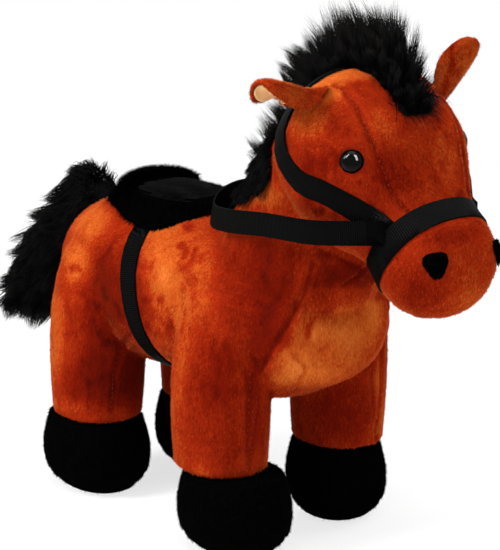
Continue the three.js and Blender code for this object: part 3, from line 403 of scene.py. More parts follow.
def ribbon_material():
    """Grosgrain: black polyester ribbon with fine ribs across it, which catch the light on one flank; each
    rib's crest is also painted lighter than its trough, as painted highlight and shade
    """
    material = new_material("black_grosgrain", {"Roughness": 0.5, "Specular IOR Level": 0.006})
    tree = material.node_tree
    run = add_node(tree, "Attribute", {"attribute_name": "run"}).outputs["Fac"]
    turn = add_node(tree, "Math", {"operation": "MULTIPLY", 1: FULL_TURN / RIB_PITCH}, n0=run).outputs[0]
    wave = add_node(tree, "Math", {"operation": "SINE"}, n0=turn).outputs[0]
    ribs = add_node(tree, "MapRange", {"From Min": -1.0, "From Max": 1.0}, Value=wave).outputs["Result"]
    relief = add_node(tree, "Bump", {"Strength": 0.7, "Distance": RIB_HEIGHT}, Height=ribs).outputs["Normal"]
    tree.links.new(relief, tree.nodes["Principled BSDF"].inputs["Normal"])
    # the ribs' tint is painted highlight on the crests and painted shade in the troughs
    return tinted(material, ((0.0, "#010101"), (0.6, "#030303"), (1.0, "#0d0f0d")), ribs)


SATIN_CREASE_SHADING = 8.33 * MM  # painted light and shade of soft creases in the lining


def satin_material():
    """Cream polyester satin: soft broad gloss over a weave too fine to see, with painted light and shade of
    soft creases
    """
    material = new_material("cream_satin", {
        "Roughness": 0.5,
        "Specular IOR Level": 0.1,
        "Sheen Weight": 0.2,
    })
    crease_light_and_shade = patches(material.node_tree, SATIN_CREASE_SHADING, 1.0)
    return tinted(material, ((0.3, "#c08a50"), (0.7, "#e0b47c")), crease_light_and_shade)


def eye_material():
    """Moulded safety eye: black plastic, polished so that its dome mirrors the lights"""
    return new_material("polished_black_plastic", {
        "Base Color": colour("#020201"),
        "Roughness": 0.03,
        "Specular IOR Level": 0.07,
    })


def thread_material():
    """Polyester sewing thread, dyed to go with the plush"""
    return new_material("sewing_thread", {
        "Base Color": colour("#803020"),
        "Roughness": 0.6,
        "Specular IOR Level": 0.02,
    })


def washer_material():
    """Moulded white plastic, smooth but dull"""
    return new_material("moulded_white_plastic", {"Base Color": colour("#e8e6e0"), "Roughness": 0.5})


def backing_material():
    """Woven polyester backing, rough and nearly black"""
    return new_material("woven_backing", {"Base Color": colour("#201d1b"), "Roughness": 0.9})


plush = plush_material()
black_plush = black_plush_material()
worn_plush = seat_material()
hair = hair_material()
pile_shadow = core_material()
ribbon = ribbon_material()
satin = satin_material()
eye_plastic = eye_material()
thread = thread_material()
washer_plastic = washer_material()
backing = backing_material()

add_camera()

# Nap: how the pile lies, with painted light and shade. Areas of painted light and shade, mixed with brushed
# areas, are named by the pixel at their middle, their two radii in pixels and a tone; each has a soft ragged
# edge, and reaches only as deep as the form that the pixel shows.
PAINTED_LIGHT_AND_NAP_AREAS = (
    ((92, 222), (20, 20), 0.18),
    ((76, 262), (15, 20), 0.2),
    ((75, 269), (8, 5), -0.2),
    ((112, 296), (28, 40), -0.16),
    ((56, 335), (10, 55), 0.12),
    ((98, 345), (18, 25), -0.14),
    ((98, 380), (36, 26), -0.2),
    ((68, 404), (20, 8), 0.1),
    ((138, 378), (20, 42), -0.26),
    ((162, 240), (26, 50), 0.18),
    ((166, 300), (18, 38), 0.2),
    ((188, 229), (6, 4), -0.22),
    ((182, 246), (5, 4), -0.2),
    ((184, 330), (10, 50), 0.12),
    ((178, 402), (8, 42), 0.08),
    ((197, 275), (18, 48), 0.14),
    ((256, 282), (38, 54), -0.18),
    ((230, 245), (12, 26), -0.08),
    ((268, 348), (18, 34), -0.14),
    ((216, 405), (30, 62), -0.13),
    ((258, 412), (12, 56), -0.16),
    ((286, 366), (26, 22), 0.24),
    ((326, 352), (52, 30), 0.2),
    ((306, 322), (20, 24), 0.16),
    ((318, 378), (32, 10), 0.1),
    ((354, 326), (32, 22), 0.12),
    ((374, 300), (12, 28), 0.16),
    ((350, 274), (30, 13), -0.28),
    ((376, 292), (14, 10), -0.18),
    ((322, 292), (14, 20), -0.04),
    ((345, 408), (30, 36), -0.13),
    ((379, 402), (7, 44), 0.12),
    ((266, 197), (22, 12), 0.12),
    ((312, 88), (36, 18), 0.24),
    ((304, 124), (24, 20), 0.16),
    ((334, 166), (32, 14), -0.03),
    ((386, 124), (30, 18), 0.07),
    ((402, 170), (22, 20), -0.1),
    ((448, 150), (12, 46), 0.13),
    ((300, 160), (24, 40), -0.1),
    ((375, 170), (30, 30), -0.05),
    ((350, 72), (40, 9), 0.2),
    ((418, 286), (38, 26), -0.11),
    ((462, 288), (22, 24), 0.08),
    ((448, 238), (30, 12), -0.14),
)
AREA_DEPTH = 34 * MM
AREA_RAGGED = 4.5  # pixels that an area's edge wanders by
NAP_LEVEL = 0.44
NAP_SPREAD = 0.17
NAP_PATCHES = (45.5 * MM, 14.3 * MM, 4.35 * MM)  # across the broad, the small and the fine patches
NAP_SHARES = (0.6, 0.5, 0.3)
NAP_UPRIGHT = 0.6  # a patch's width against its height
CRUSH_MARKS = (11.1 * MM, 11.1 * MM, 16.7 * MM)  # size of the small crushed marks along each axis
CRUSH_FRAY = 0.3  # how much fine noise frays the marks
CRUSH_DEPTH = 0.18  # how much darker the marks are
CRUSH_SHARE = 0.3  # of the noise's height, over which a mark fades in
CRUSH_BELOW = 0.15  # marks show only where the broad and the small noise stay below this together
STRAY_FINE, STRAY_SMALL = 0.4, 0.5  # shares of finer noise in how an area's edge wanders
TONE_RANGE = (0.02, 0.98)


def nap_and_painted_light_tone(points, areas=(), seed=0.0, painted_light=0.0):
    """Lightness at points, from 0 to 1: the nap's random patches and small soft crushed marks, with painted
    light and shade in areas that are partly brushed, and painted light added evenly
    """
    tones = np.empty(len(points))
    stray = np.empty((len(points), 2))
    shift = Vector((seed, seed * 2, -seed))
    for i, (x, y, z) in enumerate(points):
        place = Vector((x, y, z * NAP_UPRIGHT))
        broad, small, fine = [noise.noise(place / size + shift) for size in NAP_PATCHES]
        uneven = sum(share * part for share, part in zip(NAP_SHARES, (broad, small, fine)))
        # painted light raises the whole tone, on the ears
        tones[i] = NAP_LEVEL + painted_light + NAP_SPREAD * uneven
        spot = Vector((x / CRUSH_MARKS[0], y / CRUSH_MARKS[1], z / CRUSH_MARKS[2]))
        mark = abs(noise.noise(spot - shift)) + CRUSH_FRAY * fine
        crushed = max(1 - max(mark, 0) / CRUSH_SHARE, 0) ** 2
        tones[i] -= CRUSH_DEPTH * crushed * max(CRUSH_BELOW - broad - small, 0)
        stray[i] = small + STRAY_FINE * fine, broad + STRAY_SMALL * small
    if areas:
        seen, depth = in_picture(points)
        seen += stray * AREA_RAGGED
        # areas of painted light and shade, mixed with brushed nap
        for pixel, radii, tone, reach in areas:
            far = (((seen - pixel) / radii) ** 2).sum(1)
            tones += tone * np.exp(-far ** 2 - ((depth - reach) / AREA_DEPTH) ** 4)
    return np.clip(tones, *TONE_RANGE)


# The skin: the torso, the neck, the head and the legs, joined to one sewn and stuffed form
SKIN_NODES = ["torso", "neck", "head"] + [f"leg_{leg}" for leg in LEGS]
SKIN_GROWTH = 0.35 * MM
SKIN_VOXEL = 1.6 * MM
SKIN_ROUNDS = 9

skin_mesh = cover(SKIN_NODES, SKIN_GROWTH, SKIN_VOXEL, SKIN_ROUNDS)
skin_tree = tree_of(skin_mesh)  # the skin before its seams are sewn in: pixels and hair roots are found on it

# Seams and folds, as the pixels that the photograph shows them at
FACE_SEAM = ((331, 85), (343, 88), (357, 107), (368, 132), (380, 160), (389, 186), (400, 203), (412, 216))
SHOULDER_SEAM = ((313, 262), (305, 292), (290, 322), (272, 348), (260, 372))
INNER_LEG_SEAM = ((252, 376), (249, 410), (247, 446), (249, 470))
JAW_FOLD = ((320, 250), (342, 258), (360, 268), (374, 280))
THIGH_SEAM = ((137, 325), (120, 350), (114, 372), (111, 412))
FORE_SEAM = ((372, 372), (374, 410), (376, 440))
SEAMS = (FACE_SEAM, SHOULDER_SEAM, INNER_LEG_SEAM, JAW_FOLD, THIGH_SEAM, FORE_SEAM)
STITCHED = (FACE_SEAM, INNER_LEG_SEAM, THIGH_SEAM, FORE_SEAM)
TRACE_STEP = 1.5  # pixels


def traced(tree, pixels):
    """Points on a surface along a line of pixels, as the camera sees it"""
    points = []
    for start, end in zip(pixels, pixels[1:]):
        count = max(int(math.dist(start, end) / TRACE_STEP), 1)
        for i in range(count):
            pixel = [a + (b - a) * i / count for a, b in zip(start, end)]
            spot, *_ = tree.ray_cast(camera_place, sight(pixel))
            if spot is not None:
                points.append(spot)
    return points


def mirrored(tree, points):
    return [tree.find_nearest(Vector((-p.x, p.y, p.z)))[0] for p in points]


seams = []
stitched_seams = []
for line in SEAMS:
    path = traced(skin_tree, line)
    both = [path, mirrored(skin_tree, path)]
    seams += both
    if line in STITCHED:
        stitched_seams += both

# each area of painted light and shade, with how far its form lies from the camera
painted_light_and_nap_areas = []
for pixel, radii, tone in PAINTED_LIGHT_AND_NAP_AREAS:
    spot, *_ = skin_tree.ray_cast(camera_place, sight(pixel))
    if spot is not None:
        painted_light_and_nap_areas.append((pixel, radii, tone, (spot - camera_place).length))

SEAM_DEPTH = 1.1 * MM
SEAM_WIDTH = 1.5 * MM
SEAM_SWELL = 0.35  # how high the cloth swells beside a seam, against its depth
SEAM_SWELL_PLACE, SEAM_SWELL_WIDTH = 2.2, 0.9  # in seam widths
SEAM_SHADE = 0.3  # painted shade: how much darker the tone is in a seam or fold
SEAM_SHADE_TIGHT = 1.5  # how much narrower the shade is than the seam
SEAM_REACH = 8 * MM  # beyond it a seam does nothing


def nearest_distances(points, path):
    """How far each point is from the points of a path; infinite where none of them can be near"""
    path = np.array(path)
    far = np.full(len(points), np.inf)
    low, high = path.min(0) - SEAM_REACH, path.max(0) + SEAM_REACH
    for chunk in chunks(np.where(((points > low) & (points < high)).all(1))[0]):
        gap = np.linalg.norm(points[chunk, None] - path[None], axis=2)
        far[chunk] = gap.min(1)
    return far


def sew(mesh, paths):
    """Draw a mesh in along paths, with the cloth swelling a little on both sides"""
    points = read(mesh.vertices, "co")
    normals = read(mesh.vertices, "normal")
    for path in paths:
        far = nearest_distances(points, path) / SEAM_WIDTH
        swell = SEAM_SWELL * np.exp(-((far - SEAM_SWELL_PLACE) / SEAM_SWELL_WIDTH) ** 2)
        points -= normals * (SEAM_DEPTH * (np.exp(-far ** 2) - swell))[:, None]
    set_points(mesh, points)


def skin_tones(points):
    """The skin's tones, darker in the seams and folds: painted shade"""
    tones = nap_and_painted_light_tone(points, painted_light_and_nap_areas)
    for path in seams:
        far = nearest_distances(points, path) / SEAM_WIDTH * SEAM_SHADE_TIGHT
        tones -= SEAM_SHADE * np.exp(-far ** 2)
    return np.clip(tones, *TONE_RANGE)


sew(skin_mesh, seams)
set_attribute(skin_mesh, "nap", skin_tones(read(skin_mesh.vertices, "co")))
make_piece("plush_skin", skin_mesh, "horse", plush, replaces=SKIN_NODES)

# Stitches: a short spindle of thread for each, half sunk in the seam
STITCH_PITCH = 2.6 * MM
STITCH_LENGTH = 1.7 * MM
STITCH_RADIUS = 0.15 * MM
STITCH_RISE = 0.8  # of its radius, from the skin to a stitch's middle


def add_stitches():
    """One mesh of all the stitches, at an even pitch along their seams"""
    tree = tree_of(skin_mesh)
    shape = bmesh.new()
    size = Matrix.Diagonal((STITCH_LENGTH / 2, STITCH_RADIUS, STITCH_RADIUS, 1))
    for path in stitched_seams:
        since = 0.0
        for before, after in zip(path, path[1:]):
            since += (after - before).length
            if since < STITCH_PITCH or (after - before).length == 0:
                continue
            since = 0.0
            spot, outward, _, _ = tree.find_nearest(after)
            run = (after - before).normalized()
            side = outward.cross(run).normalized()
            turn = Matrix((run, side, run.cross(side))).transposed().to_4x4()
            place = Matrix.Translation(spot + outward * STITCH_RADIUS * STITCH_RISE)
            bmesh.ops.create_icosphere(shape, subdivisions=1, radius=1, matrix=place @ turn @ size)
    make_piece("skin_stitches", mesh_of(shape), "horse", thread)


add_stitches()

# Pile: closed slivers that lie along the nap
PILE_MIX = 0.08  # how far slivers differ in tone
PILE_TIP = 0.05  # how much lighter a sliver is at its tip
PILE_SHEEN = 0.25  # how far the light on a sliver turns from the surface's own towards its lean
PILE_STRAY = 0.2  # how far each sliver strays from the comb
PILE_SWIRL = 0.5  # how far the comb itself wanders
PILE_SWIRL_SIZE = 16.7 * MM
PILE_SWIRL_SEED = 5
PILE_LENGTHS = (0.7, 1.15)  # least and most, in shares of the length
PILE_WIDTHS = (0.7, 1.3)
PILE_TILT = 0.12  # radians by which the lean differs
PILE_HEEL = 0.6  # how far a sliver's foot reaches along its lean, in half widths
PILE_SUNK = 0.6  # how deep it stands in the cloth, in widths
PILE_CLEARANCE = 1.2 * MM  # from trim and covers

noise.seed_set(PILE_SWIRL_SEED)  # without it noise_vector differs from run to run


def scattered(mesh, count, rng):
    """Points spread evenly over a mesh, with the outward way at each"""
    mesh.calc_loop_triangles()
    points = read(mesh.vertices, "co")
    normals = read(mesh.vertices, "normal")
    corners = read(mesh.loop_triangles, "vertices", np.int32)
    a, b, c = (points[corners[:, i]] for i in range(3))
    areas = np.linalg.norm(np.cross(b - a, c - a), axis=1)
    picked = rng.choice(len(corners), count, p=areas / areas.sum())
    u, v = rng.random((2, count))
    flip = u + v > 1
    u[flip], v[flip] = 1 - u[flip], 1 - v[flip]
    weights = np.stack([1 - u - v, u, v], 1)[:, :, None]
    spots = (points[corners[picked]] * weights).sum(1)
    outward = (normals[corners[picked]] * weights).sum(1)
    return spots, unit(outward)


def down_comb(points):
    """The pile hangs straight down."""
    return np.tile(np.array((0, 0, -1.0)), (len(points), 1))


def pile(name, surface, count, length, width, lean, seed, comb=down_comb, body="horse",
         material=black_plush, tones=None, clear_of=(), clearance=PILE_CLEARANCE, keep=None):
    """Short pile on a surface: slivers that lean along the comb, in degrees, and are lit as the surface is"""
    rng = np.random.default_rng(seed)
    spots, outward = scattered(surface, count, rng)
    if keep is not None:
        kept = keep(spots)
        spots, outward = spots[kept], outward[kept]
    for tree in clear_of:
        kept = distances(tree, spots, clearance) >= clearance
        spots, outward = spots[kept], outward[kept]
    total = len(spots)
    flow = comb(spots) + rng.normal(0, PILE_STRAY, (total, 3))
    flow += np.array([noise.noise_vector(Vector(p) / PILE_SWIRL_SIZE) for p in spots]) * PILE_SWIRL
    flow = unit(along_surface(flow, outward))
    side = np.cross(outward, flow)
    long = length * rng.uniform(*PILE_LENGTHS, total)[:, None]
    tilt = math.radians(lean) + rng.normal(0, PILE_TILT, total)[:, None]
    tip = spots + (outward * np.cos(tilt) + flow * np.sin(tilt)) * long
    wide = width / 2 * rng.uniform(*PILE_WIDTHS, total)[:, None]
    base = spots - outward * width * PILE_SUNK
    points = np.stack([base + flow * wide * PILE_HEEL, base + side * wide, base - side * wide, tip], 1)
    mesh = strand_mesh(name, points, ((0, 2, 1), (0, 1, 3), (1, 2, 3), (2, 0, 3)))
    if tones is not None:
        tone = tones(spots) + rng.normal(0, PILE_MIX, total)
        set_attribute(mesh, "nap", np.clip(tone[:, None] + np.array((0, 0, 0, PILE_TIP)), 0, 1).ravel())
    make_piece(name, mesh, body, material)
    mesh.normals_split_custom_set_from_vertices(np.repeat(outward + flow * PILE_SHEEN, 4, axis=0))


LEG_TOP = 95 * MM
BARREL_COMB = (0, 0.45, -1)
LEG_COMB = (0, 0.05, -1)

# The skin's pile is three pieces: before and above the first two planes, and on each side of the third
HEAD_REAR = -97 * MM
HEAD_FOOT = 125 * MM
BARREL_MIDDLE = -22 * MM


def body_comb(points):
    """The pile lies back and down on the barrel, and straight down on the legs."""
    return np.where(points[:, 2:] < LEG_TOP, np.array(LEG_COMB), np.array(BARREL_COMB))


def on_head(points):
    return (points[:, 1] < HEAD_REAR) & (points[:, 2] > HEAD_FOOT)


paired_trim = [f"{node}_{side}" for node in ("eye", "nostril") for side in SIDES]
trim_tree = cad_tree("noseband", "headpiece", "girth", *paired_trim)
cover_tree = cad_tree("saddle_pad", "mane_crown", "mane_nape", "mane_withers")
regions = (
    ("head_pile", 190000, on_head),
    ("fore_pile", 140000, lambda points: (points[:, 1] < BARREL_MIDDLE) & ~on_head(points)),
    ("hind_pile", 140000, lambda points: points[:, 1] >= BARREL_MIDDLE),
)
for i, (name, count, keep) in enumerate(regions):
    pile(name, skin_mesh, count, length=1.9 * MM, width=0.45 * MM, lean=70, seed=11 + i, comb=body_comb,
         material=plush, tones=skin_tones, clear_of=(trim_tree, cover_tree), keep=keep)

# Hooves, each with its sole
HOOF_GROWTH = 0.25 * MM
HOOF_VOXEL = 1.3 * MM
SOLE_SEAM_HEIGHT = 9 * MM
SOLE_SEAM_WIDTH = 1.4 * MM
SOLE_SEAM_DEPTH = 0.7 * MM
FLOOR_CLEARANCE = 0.15 * MM
HOOF_PILE_FOOT = 2.5 * MM  # the lowest pile's height, so that none reaches into the floor

for i, leg in enumerate(LEGS):
    nodes = (f"hoof_{leg}", f"sole_{leg}")
    mesh = cover(nodes, HOOF_GROWTH, HOOF_VOXEL)
    points = read(mesh.vertices, "co")
    normals = read(mesh.vertices, "normal")
    far = (points[:, 2] - SOLE_SEAM_HEIGHT) / SOLE_SEAM_WIDTH
    points -= normals * (SOLE_SEAM_DEPTH * np.exp(-far ** 2))[:, None]
    points[:, 2] = np.maximum(points[:, 2], FLOOR_CLEARANCE)
    set_points(mesh, points)
    make_piece(f"hoof_skin_{leg}", mesh, "horse", black_plush, replaces=nodes)
    pile(f"hoof_pile_{leg}", mesh, 11000, length=1.9 * MM, width=0.55 * MM, lean=60, seed=31 + i,
         keep=lambda points: points[:, 2] > HOOF_PILE_FOOT)

# Long pile
HAIR_RINGS = 4
HAIR_SIDES = 3
HAIR_TAPER = 0.7  # the power by which a hair thins towards its tip
HAIR_RADII = (0.7, 1.2)  # least and most, in shares of the radius
HAIR_TONES = (0.5, 1)  # how light tips are
NO_HAIR_WAY = (0.31, 0.17, 0.93)  # a way along which hardly any hair runs
LOCK_PULLS = (0.5, 1)  # shares of the pull that single hairs follow
LOCK_REACHES = (0.45, 1)  # shares of their lock's jut that single hairs reach
LOCK_JUT_POWER = 1.6  # few locks stand far out


def hair_radii(radius, count, rng):
    return radius * rng.uniform(*HAIR_RADII, count)


def hairs(name, roots, bends, tips, radii, body, rng):
    """Closed tapered hairs on curves from their roots past a bend to their tips"""
    total = len(roots)
    steps = np.linspace(0, 1, HAIR_RINGS + 1)[:-1]
    turns = [FULL_TURN * k / HAIR_SIDES for k in range(HAIR_SIDES)]
    rings = []
    for t in steps:
        spot = (1 - t) ** 2 * roots + 2 * t * (1 - t) * bends + t ** 2 * tips
        run = unit(2 * (1 - t) * (bends - roots) + 2 * t * (tips - bends))
        side = unit(np.cross(run, np.array(NO_HAIR_WAY)))
        high = np.cross(run, side)
        thick = (radii * (1 - t) ** HAIR_TAPER)[:, None]
        rings.append(np.stack([spot + (side * math.cos(a) + high * math.sin(a)) * thick for a in turns], 1))
    points = np.concatenate([np.stack(rings, 1).reshape(total, -1, 3), tips[:, None]], 1)
    order = [(0, 2, 1)]
    for ring in range(HAIR_RINGS - 1):
        for k in range(HAIR_SIDES):
            a, b = ring * HAIR_SIDES + k, ring * HAIR_SIDES + (k + 1) % HAIR_SIDES
            order += [(a, b, b + HAIR_SIDES), (a, b + HAIR_SIDES, a + HAIR_SIDES)]
    tip = HAIR_RINGS * HAIR_SIDES
    last = tip - HAIR_SIDES
    order += [(last + k, last + (k + 1) % HAIR_SIDES, tip) for k in range(HAIR_SIDES)]
    mesh = strand_mesh(name, points, order)
    along = np.append(np.repeat(steps, HAIR_SIDES), 1)
    set_attribute(mesh, "nap", (along * rng.uniform(*HAIR_TONES, (total, 1))).ravel())
    return make_piece(name, mesh, body, hair)


def in_locks(tips, outward, count, pull, jut, wild, rng):
    """Tips drawn together into pointed locks, each lock standing out and aside by its own reach"""
    centres = tips[rng.choice(len(tips), count, replace=False)]
    juts = rng.uniform(0, 1, count) ** LOCK_JUT_POWER * jut
    asides = rng.normal(0, wild, (count, 3))
    owner = np.empty(len(tips), int)
    for chunk in chunks(np.arange(len(tips))):
        owner[chunk] = np.linalg.norm(tips[chunk, None] - centres[None], axis=2).argmin(1)
    drawn = tips + (centres[owner] - tips) * (pull * rng.uniform(*LOCK_PULLS, len(tips)))[:, None]
    reach = rng.uniform(*LOCK_REACHES, len(tips))[:, None]
    return drawn + (outward * juts[owner][:, None] + asides[owner]) * reach


CORE_VOXEL = 1.5 * MM
LOW_CORE_VOXEL = 1.3 * MM
CORE_ROUNDS = 6


def core(name, node, shrink, body, material):
    """The dense inside of long or thick pile: the CAD form, shrunk"""
    mesh = cover([node], -shrink, CORE_VOXEL, CORE_ROUNDS)
    make_piece(name, mesh, body, material, replaces=[node])
    return mesh


def low_core(name, node, share, narrow):
    """The dense inside of a mane: the CAD form drawn down towards the skin"""
    shape = cad_shape(node)
    bmesh.ops.subdivide_edges(shape, edges=shape.edges, cuts=2, use_grid_fill=True)
    for vert in shape.verts:
        root = skin_tree.find_nearest(vert.co)[0]
        vert.co = root + (vert.co - root) * share
        vert.co.x *= narrow
    mesh = remeshed(shape, LOW_CORE_VOXEL)
    relax(mesh, CORE_ROUNDS)
    make_piece(name, mesh, "horse", pile_shadow, replaces=[node])


LONG_PULL = 0.88  # how far the tips of the mane and the tail are drawn into locks
MANE_RADIUS = 0.22 * MM
MANE_NARROWING = 0.8  # roots stand closer together than the hair above them
MANE_TALLEST = 60 * MM  # from the skin to the CAD's surface, above which no skin is looked for
MANE_LOWEST = 1.5 * MM  # below it no hair stands
MANE_TIPS = (0.62, 0.95)  # where tips end before they are swept, in shares of the way to the CAD's surface
MANE_SWEPT_HEIGHT = 25 * MM  # the height at which hair is swept by the whole sweep
MANE_SWEEPS = (0.4, 1.1)  # shares of it that single hairs follow
MANE_BEND = 0.6  # of the height
MANE_BACK = 0.15  # how far the bend leans against the sweep
TIP_STRAY = 0.5 * MM
BEND_STRAY = 1.5 * MM


def mane(name, node, count, sweep, locks, jut, wild, seed, keep=None):
    """Hair that stands on the skin under a CAD node, in locks that end about its surface; sweep is in mm"""
    rng = np.random.default_rng(seed)
    spots, _ = scattered(mesh_of(cad_shape(node)), count, rng)
    kept = distances(skin_tree, spots, MANE_TALLEST) > MANE_LOWEST
    if keep is not None:
        kept &= keep(spots)
    spots = spots[kept]
    roots = np.array([skin_tree.find_nearest(Vector(p))[0] for p in spots])
    roots[:, 0] *= MANE_NARROWING
    rise = spots - roots
    height = np.linalg.norm(rise, axis=1)[:, None]
    ends = roots + rise * rng.uniform(*MANE_TIPS, (len(spots), 1))
    tips = in_locks(ends, rise / height, locks, LONG_PULL, jut, wild, rng)
    flow = np.array(sweep) * MM * (height / MANE_SWEPT_HEIGHT)
    tips += flow * rng.uniform(*MANE_SWEEPS, (len(tips), 1)) + rng.normal(0, TIP_STRAY, tips.shape)
    bends = roots + rise * MANE_BEND + rng.normal(0, BEND_STRAY, tips.shape) - flow * MANE_BACK
    hairs(name, roots, bends, tips, hair_radii(MANE_RADIUS, len(tips), rng), "horse", rng)


CROWN_PARTING = -112 * MM  # where the two pieces of the crown's hair meet

low_core("mane_crown_core", "mane_crown", share=0.62, narrow=0.75)
mane("mane_crown_fore_hair", "mane_crown", 14500, sweep=(0, 7, 2), locks=190, jut=14 * MM, wild=2.6 * MM,
     seed=51, keep=lambda points: points[:, 1] < CROWN_PARTING)
mane("mane_crown_rear_hair", "mane_crown", 14500, sweep=(0, 7, 2), locks=190, jut=10 * MM, wild=2.6 * MM,
     seed=56, keep=lambda points: points[:, 1] > CROWN_PARTING)
low_core("mane_nape_core", "mane_nape", share=0.6, narrow=0.8)
mane("mane_nape_hair", "mane_nape", 6500, sweep=(0, 7, 3), locks=120, jut=9 * MM, wild=2.8 * MM, seed=52)

# Hair that falls from the nape over the right side of the neck, as the photograph shows it
SIDE_HAIR_BORDER = (  # mm: height, and how far forward the roots reach there
    (183, -56), (189, -72), (195, -83), (201, -90), (208, -90), (216, -85), (223, -77), (230, -64),
)
SIDE_HAIR_REAR = -38 * MM
SIDE_HAIRS = 3700
SIDE_SPOTS = 500000  # spread over the whole skin, of which those in the border are used
SIDE_FALL = (-0.2, -0.25, -0.8)
SIDE_STRAY = 0.25
SIDE_LENGTHS = (6, 11)  # mm
SIDE_RISE = 0.3  # how far tips stand out, against their length
SIDE_BEND = 0.4
SIDE_BEND_OUT = 2.5 * MM
SIDE_RADIUS = 0.32 * MM
SIDE_CLEARANCE = 5 * MM  # from the bridle and the eye


def side_hair():
    rng = np.random.default_rng(57)
    spots, outward = scattered(skin_mesh, SIDE_SPOTS, rng)
    heights, fronts = np.array(SIDE_HAIR_BORDER).T * MM
    kept = (spots[:, 0] < 0) & (spots[:, 2] > heights[0]) & (spots[:, 2] < heights[-1])
    kept &= (spots[:, 1] > np.interp(spots[:, 2], heights, fronts)) & (spots[:, 1] < SIDE_HAIR_REAR)
    spots, outward = spots[kept], outward[kept]
    kept = distances(trim_tree, spots, SIDE_CLEARANCE) >= SIDE_CLEARANCE
    spots, outward = spots[kept][:SIDE_HAIRS], outward[kept][:SIDE_HAIRS]
    flow = along_surface(np.array(SIDE_FALL) + rng.normal(0, SIDE_STRAY, spots.shape), outward)
    long = rng.uniform(*SIDE_LENGTHS, (len(spots), 1)) * MM
    ends = spots + (flow + outward * SIDE_RISE) * long
    tips = in_locks(ends, outward, count=60, pull=0.8, jut=2 * MM, wild=1.2 * MM, rng=rng)
    bends = spots + flow * long * SIDE_BEND + outward * SIDE_BEND_OUT
    hairs("mane_side_hair", spots, bends, tips, hair_radii(SIDE_RADIUS, len(spots), rng), "horse", rng)


side_hair()

withers_mesh = core("mane_withers_core", "mane_withers", 0.4 * MM, "horse", black_plush)
pile("mane_withers_pile", withers_mesh, 9000, length=3.4 * MM, width=0.45 * MM, lean=35, seed=53)

# Forelock: the last sparse hairs of the mane, that fall on the forehead from the pixels named here
FORELOCK = ((408, 96), (414, 108), (404, 112), (421, 112), (398, 104), (427, 102))
FORELOCK_HAIRS = 420
FORELOCK_RISE = 8  # pixels from the named pixels up to the roots
FORELOCK_STRAY = (5, 4)  # pixels
FORELOCK_ASIDE = (0.1, 0.35)  # mean and spread
FORELOCK_FALL = (-0.55, -0.85)
FORELOCK_SHORTEST, FORELOCK_EXTRA = 5, 11  # mm
FORELOCK_BENDS_OUT = (1, 4)  # mm
FORELOCK_TIPS_OUT = (0.3, 3)  # mm
FORELOCK_RADIUS = 0.16 * MM


def forelock():
    rng = np.random.default_rng(55)
    roots, tips, bends = [], [], []
    for i in range(FORELOCK_HAIRS):
        x, y = FORELOCK[i % len(FORELOCK)]
        pixel = (x + rng.normal(0, FORELOCK_STRAY[0]), y - FORELOCK_RISE + rng.normal(0, FORELOCK_STRAY[1]))
        spot, outward, *_ = skin_tree.ray_cast(camera_place, sight(pixel))
        if spot is None:
            continue
        fall = Vector((rng.normal(*FORELOCK_ASIDE), *FORELOCK_FALL)).normalized()
        long = (FORELOCK_SHORTEST + FORELOCK_EXTRA * rng.uniform() ** 2) * MM
        end, end_outward, *_ = skin_tree.find_nearest(spot + fall * long)
        roots.append(spot)
        bends.append(spot + fall * long * 0.5 + outward * rng.uniform(*FORELOCK_BENDS_OUT) * MM)
        tips.append(end + end_outward * rng.uniform(*FORELOCK_TIPS_OUT) * MM)
    roots, bends, tips = (np.array(points) for points in (roots, bends, tips))
    hairs("forelock_hair", roots, bends, tips, np.full(len(tips), FORELOCK_RADIUS), "horse", rng)


forelock()

# Tail: a core on the backing, and frizzy tufts that stand on it and sweep towards the tip
TAIL_SHRINK = 5 * MM
TAIL_TOP, TAIL_FOOT = 151 * MM, 70 * MM  # heights of the plume's two ends
TAIL_HAIRS = 15000
TAIL_RADIUS = 0.3 * MM
TAIL_TUFT = 15 * MM
TAIL_TUFTS = (0.5, 1.1)  # least and most, in shares of a tuft
TAIL_ROOT_DEPTHS = (4, 8)  # mm
TAIL_SWEEP = 4  # mm, at most
TAIL_DROOP = 2  # mm, at most
TAIL_BEND = 0.55  # share of the way from root to surface
TAIL_BEND_OUT = 2 * MM
TAIL_BEND_STRAY = 2.2 * MM


def tail_hair(name, upper, seed):
    """The upper or the lower half of the plume's hair"""
    rng = np.random.default_rng(seed)
    spots, outward = scattered(mesh_of(cad_shape("tail_pile")), TAIL_HAIRS, rng)
    low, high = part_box("tail_pile")
    start = np.array((0, low.y, TAIL_TOP))
    run = np.array((0, high.y, TAIL_FOOT)) - start
    run /= np.linalg.norm(run)
    reach = (spots - start) @ run
    middle = np.median(reach)
    kept = reach < middle if upper else reach >= middle
    spots, outward, reach = spots[kept], outward[kept], reach[kept]
    total = len(spots)
    back = np.minimum(rng.uniform(*TAIL_TUFTS, total) * TAIL_TUFT, np.maximum(reach, 0))
    roots = spots - outward * (rng.uniform(*TAIL_ROOT_DEPTHS, (total, 1)) * MM) - run * back[:, None]
    tips = in_locks(spots, outward, count=150, pull=LONG_PULL, jut=7 * MM, wild=2.6 * MM, rng=rng)
    sweep = run * rng.uniform(0, TAIL_SWEEP, (total, 1)) * MM
    tips += sweep - np.array((0, 0, 1)) * rng.uniform(0, TAIL_DROOP, (total, 1)) * MM
    bends = roots + (spots - roots) * TAIL_BEND + outward * TAIL_BEND_OUT
    bends += rng.normal(0, TAIL_BEND_STRAY, tips.shape)
    hairs(name, roots, bends, tips, hair_radii(TAIL_RADIUS, total, rng), "tail", rng)


core("tail_core", "tail_pile", TAIL_SHRINK, "tail", pile_shadow)
tail_hair("tail_hair_upper", True, 61)
tail_hair("tail_hair_lower", False, 62)

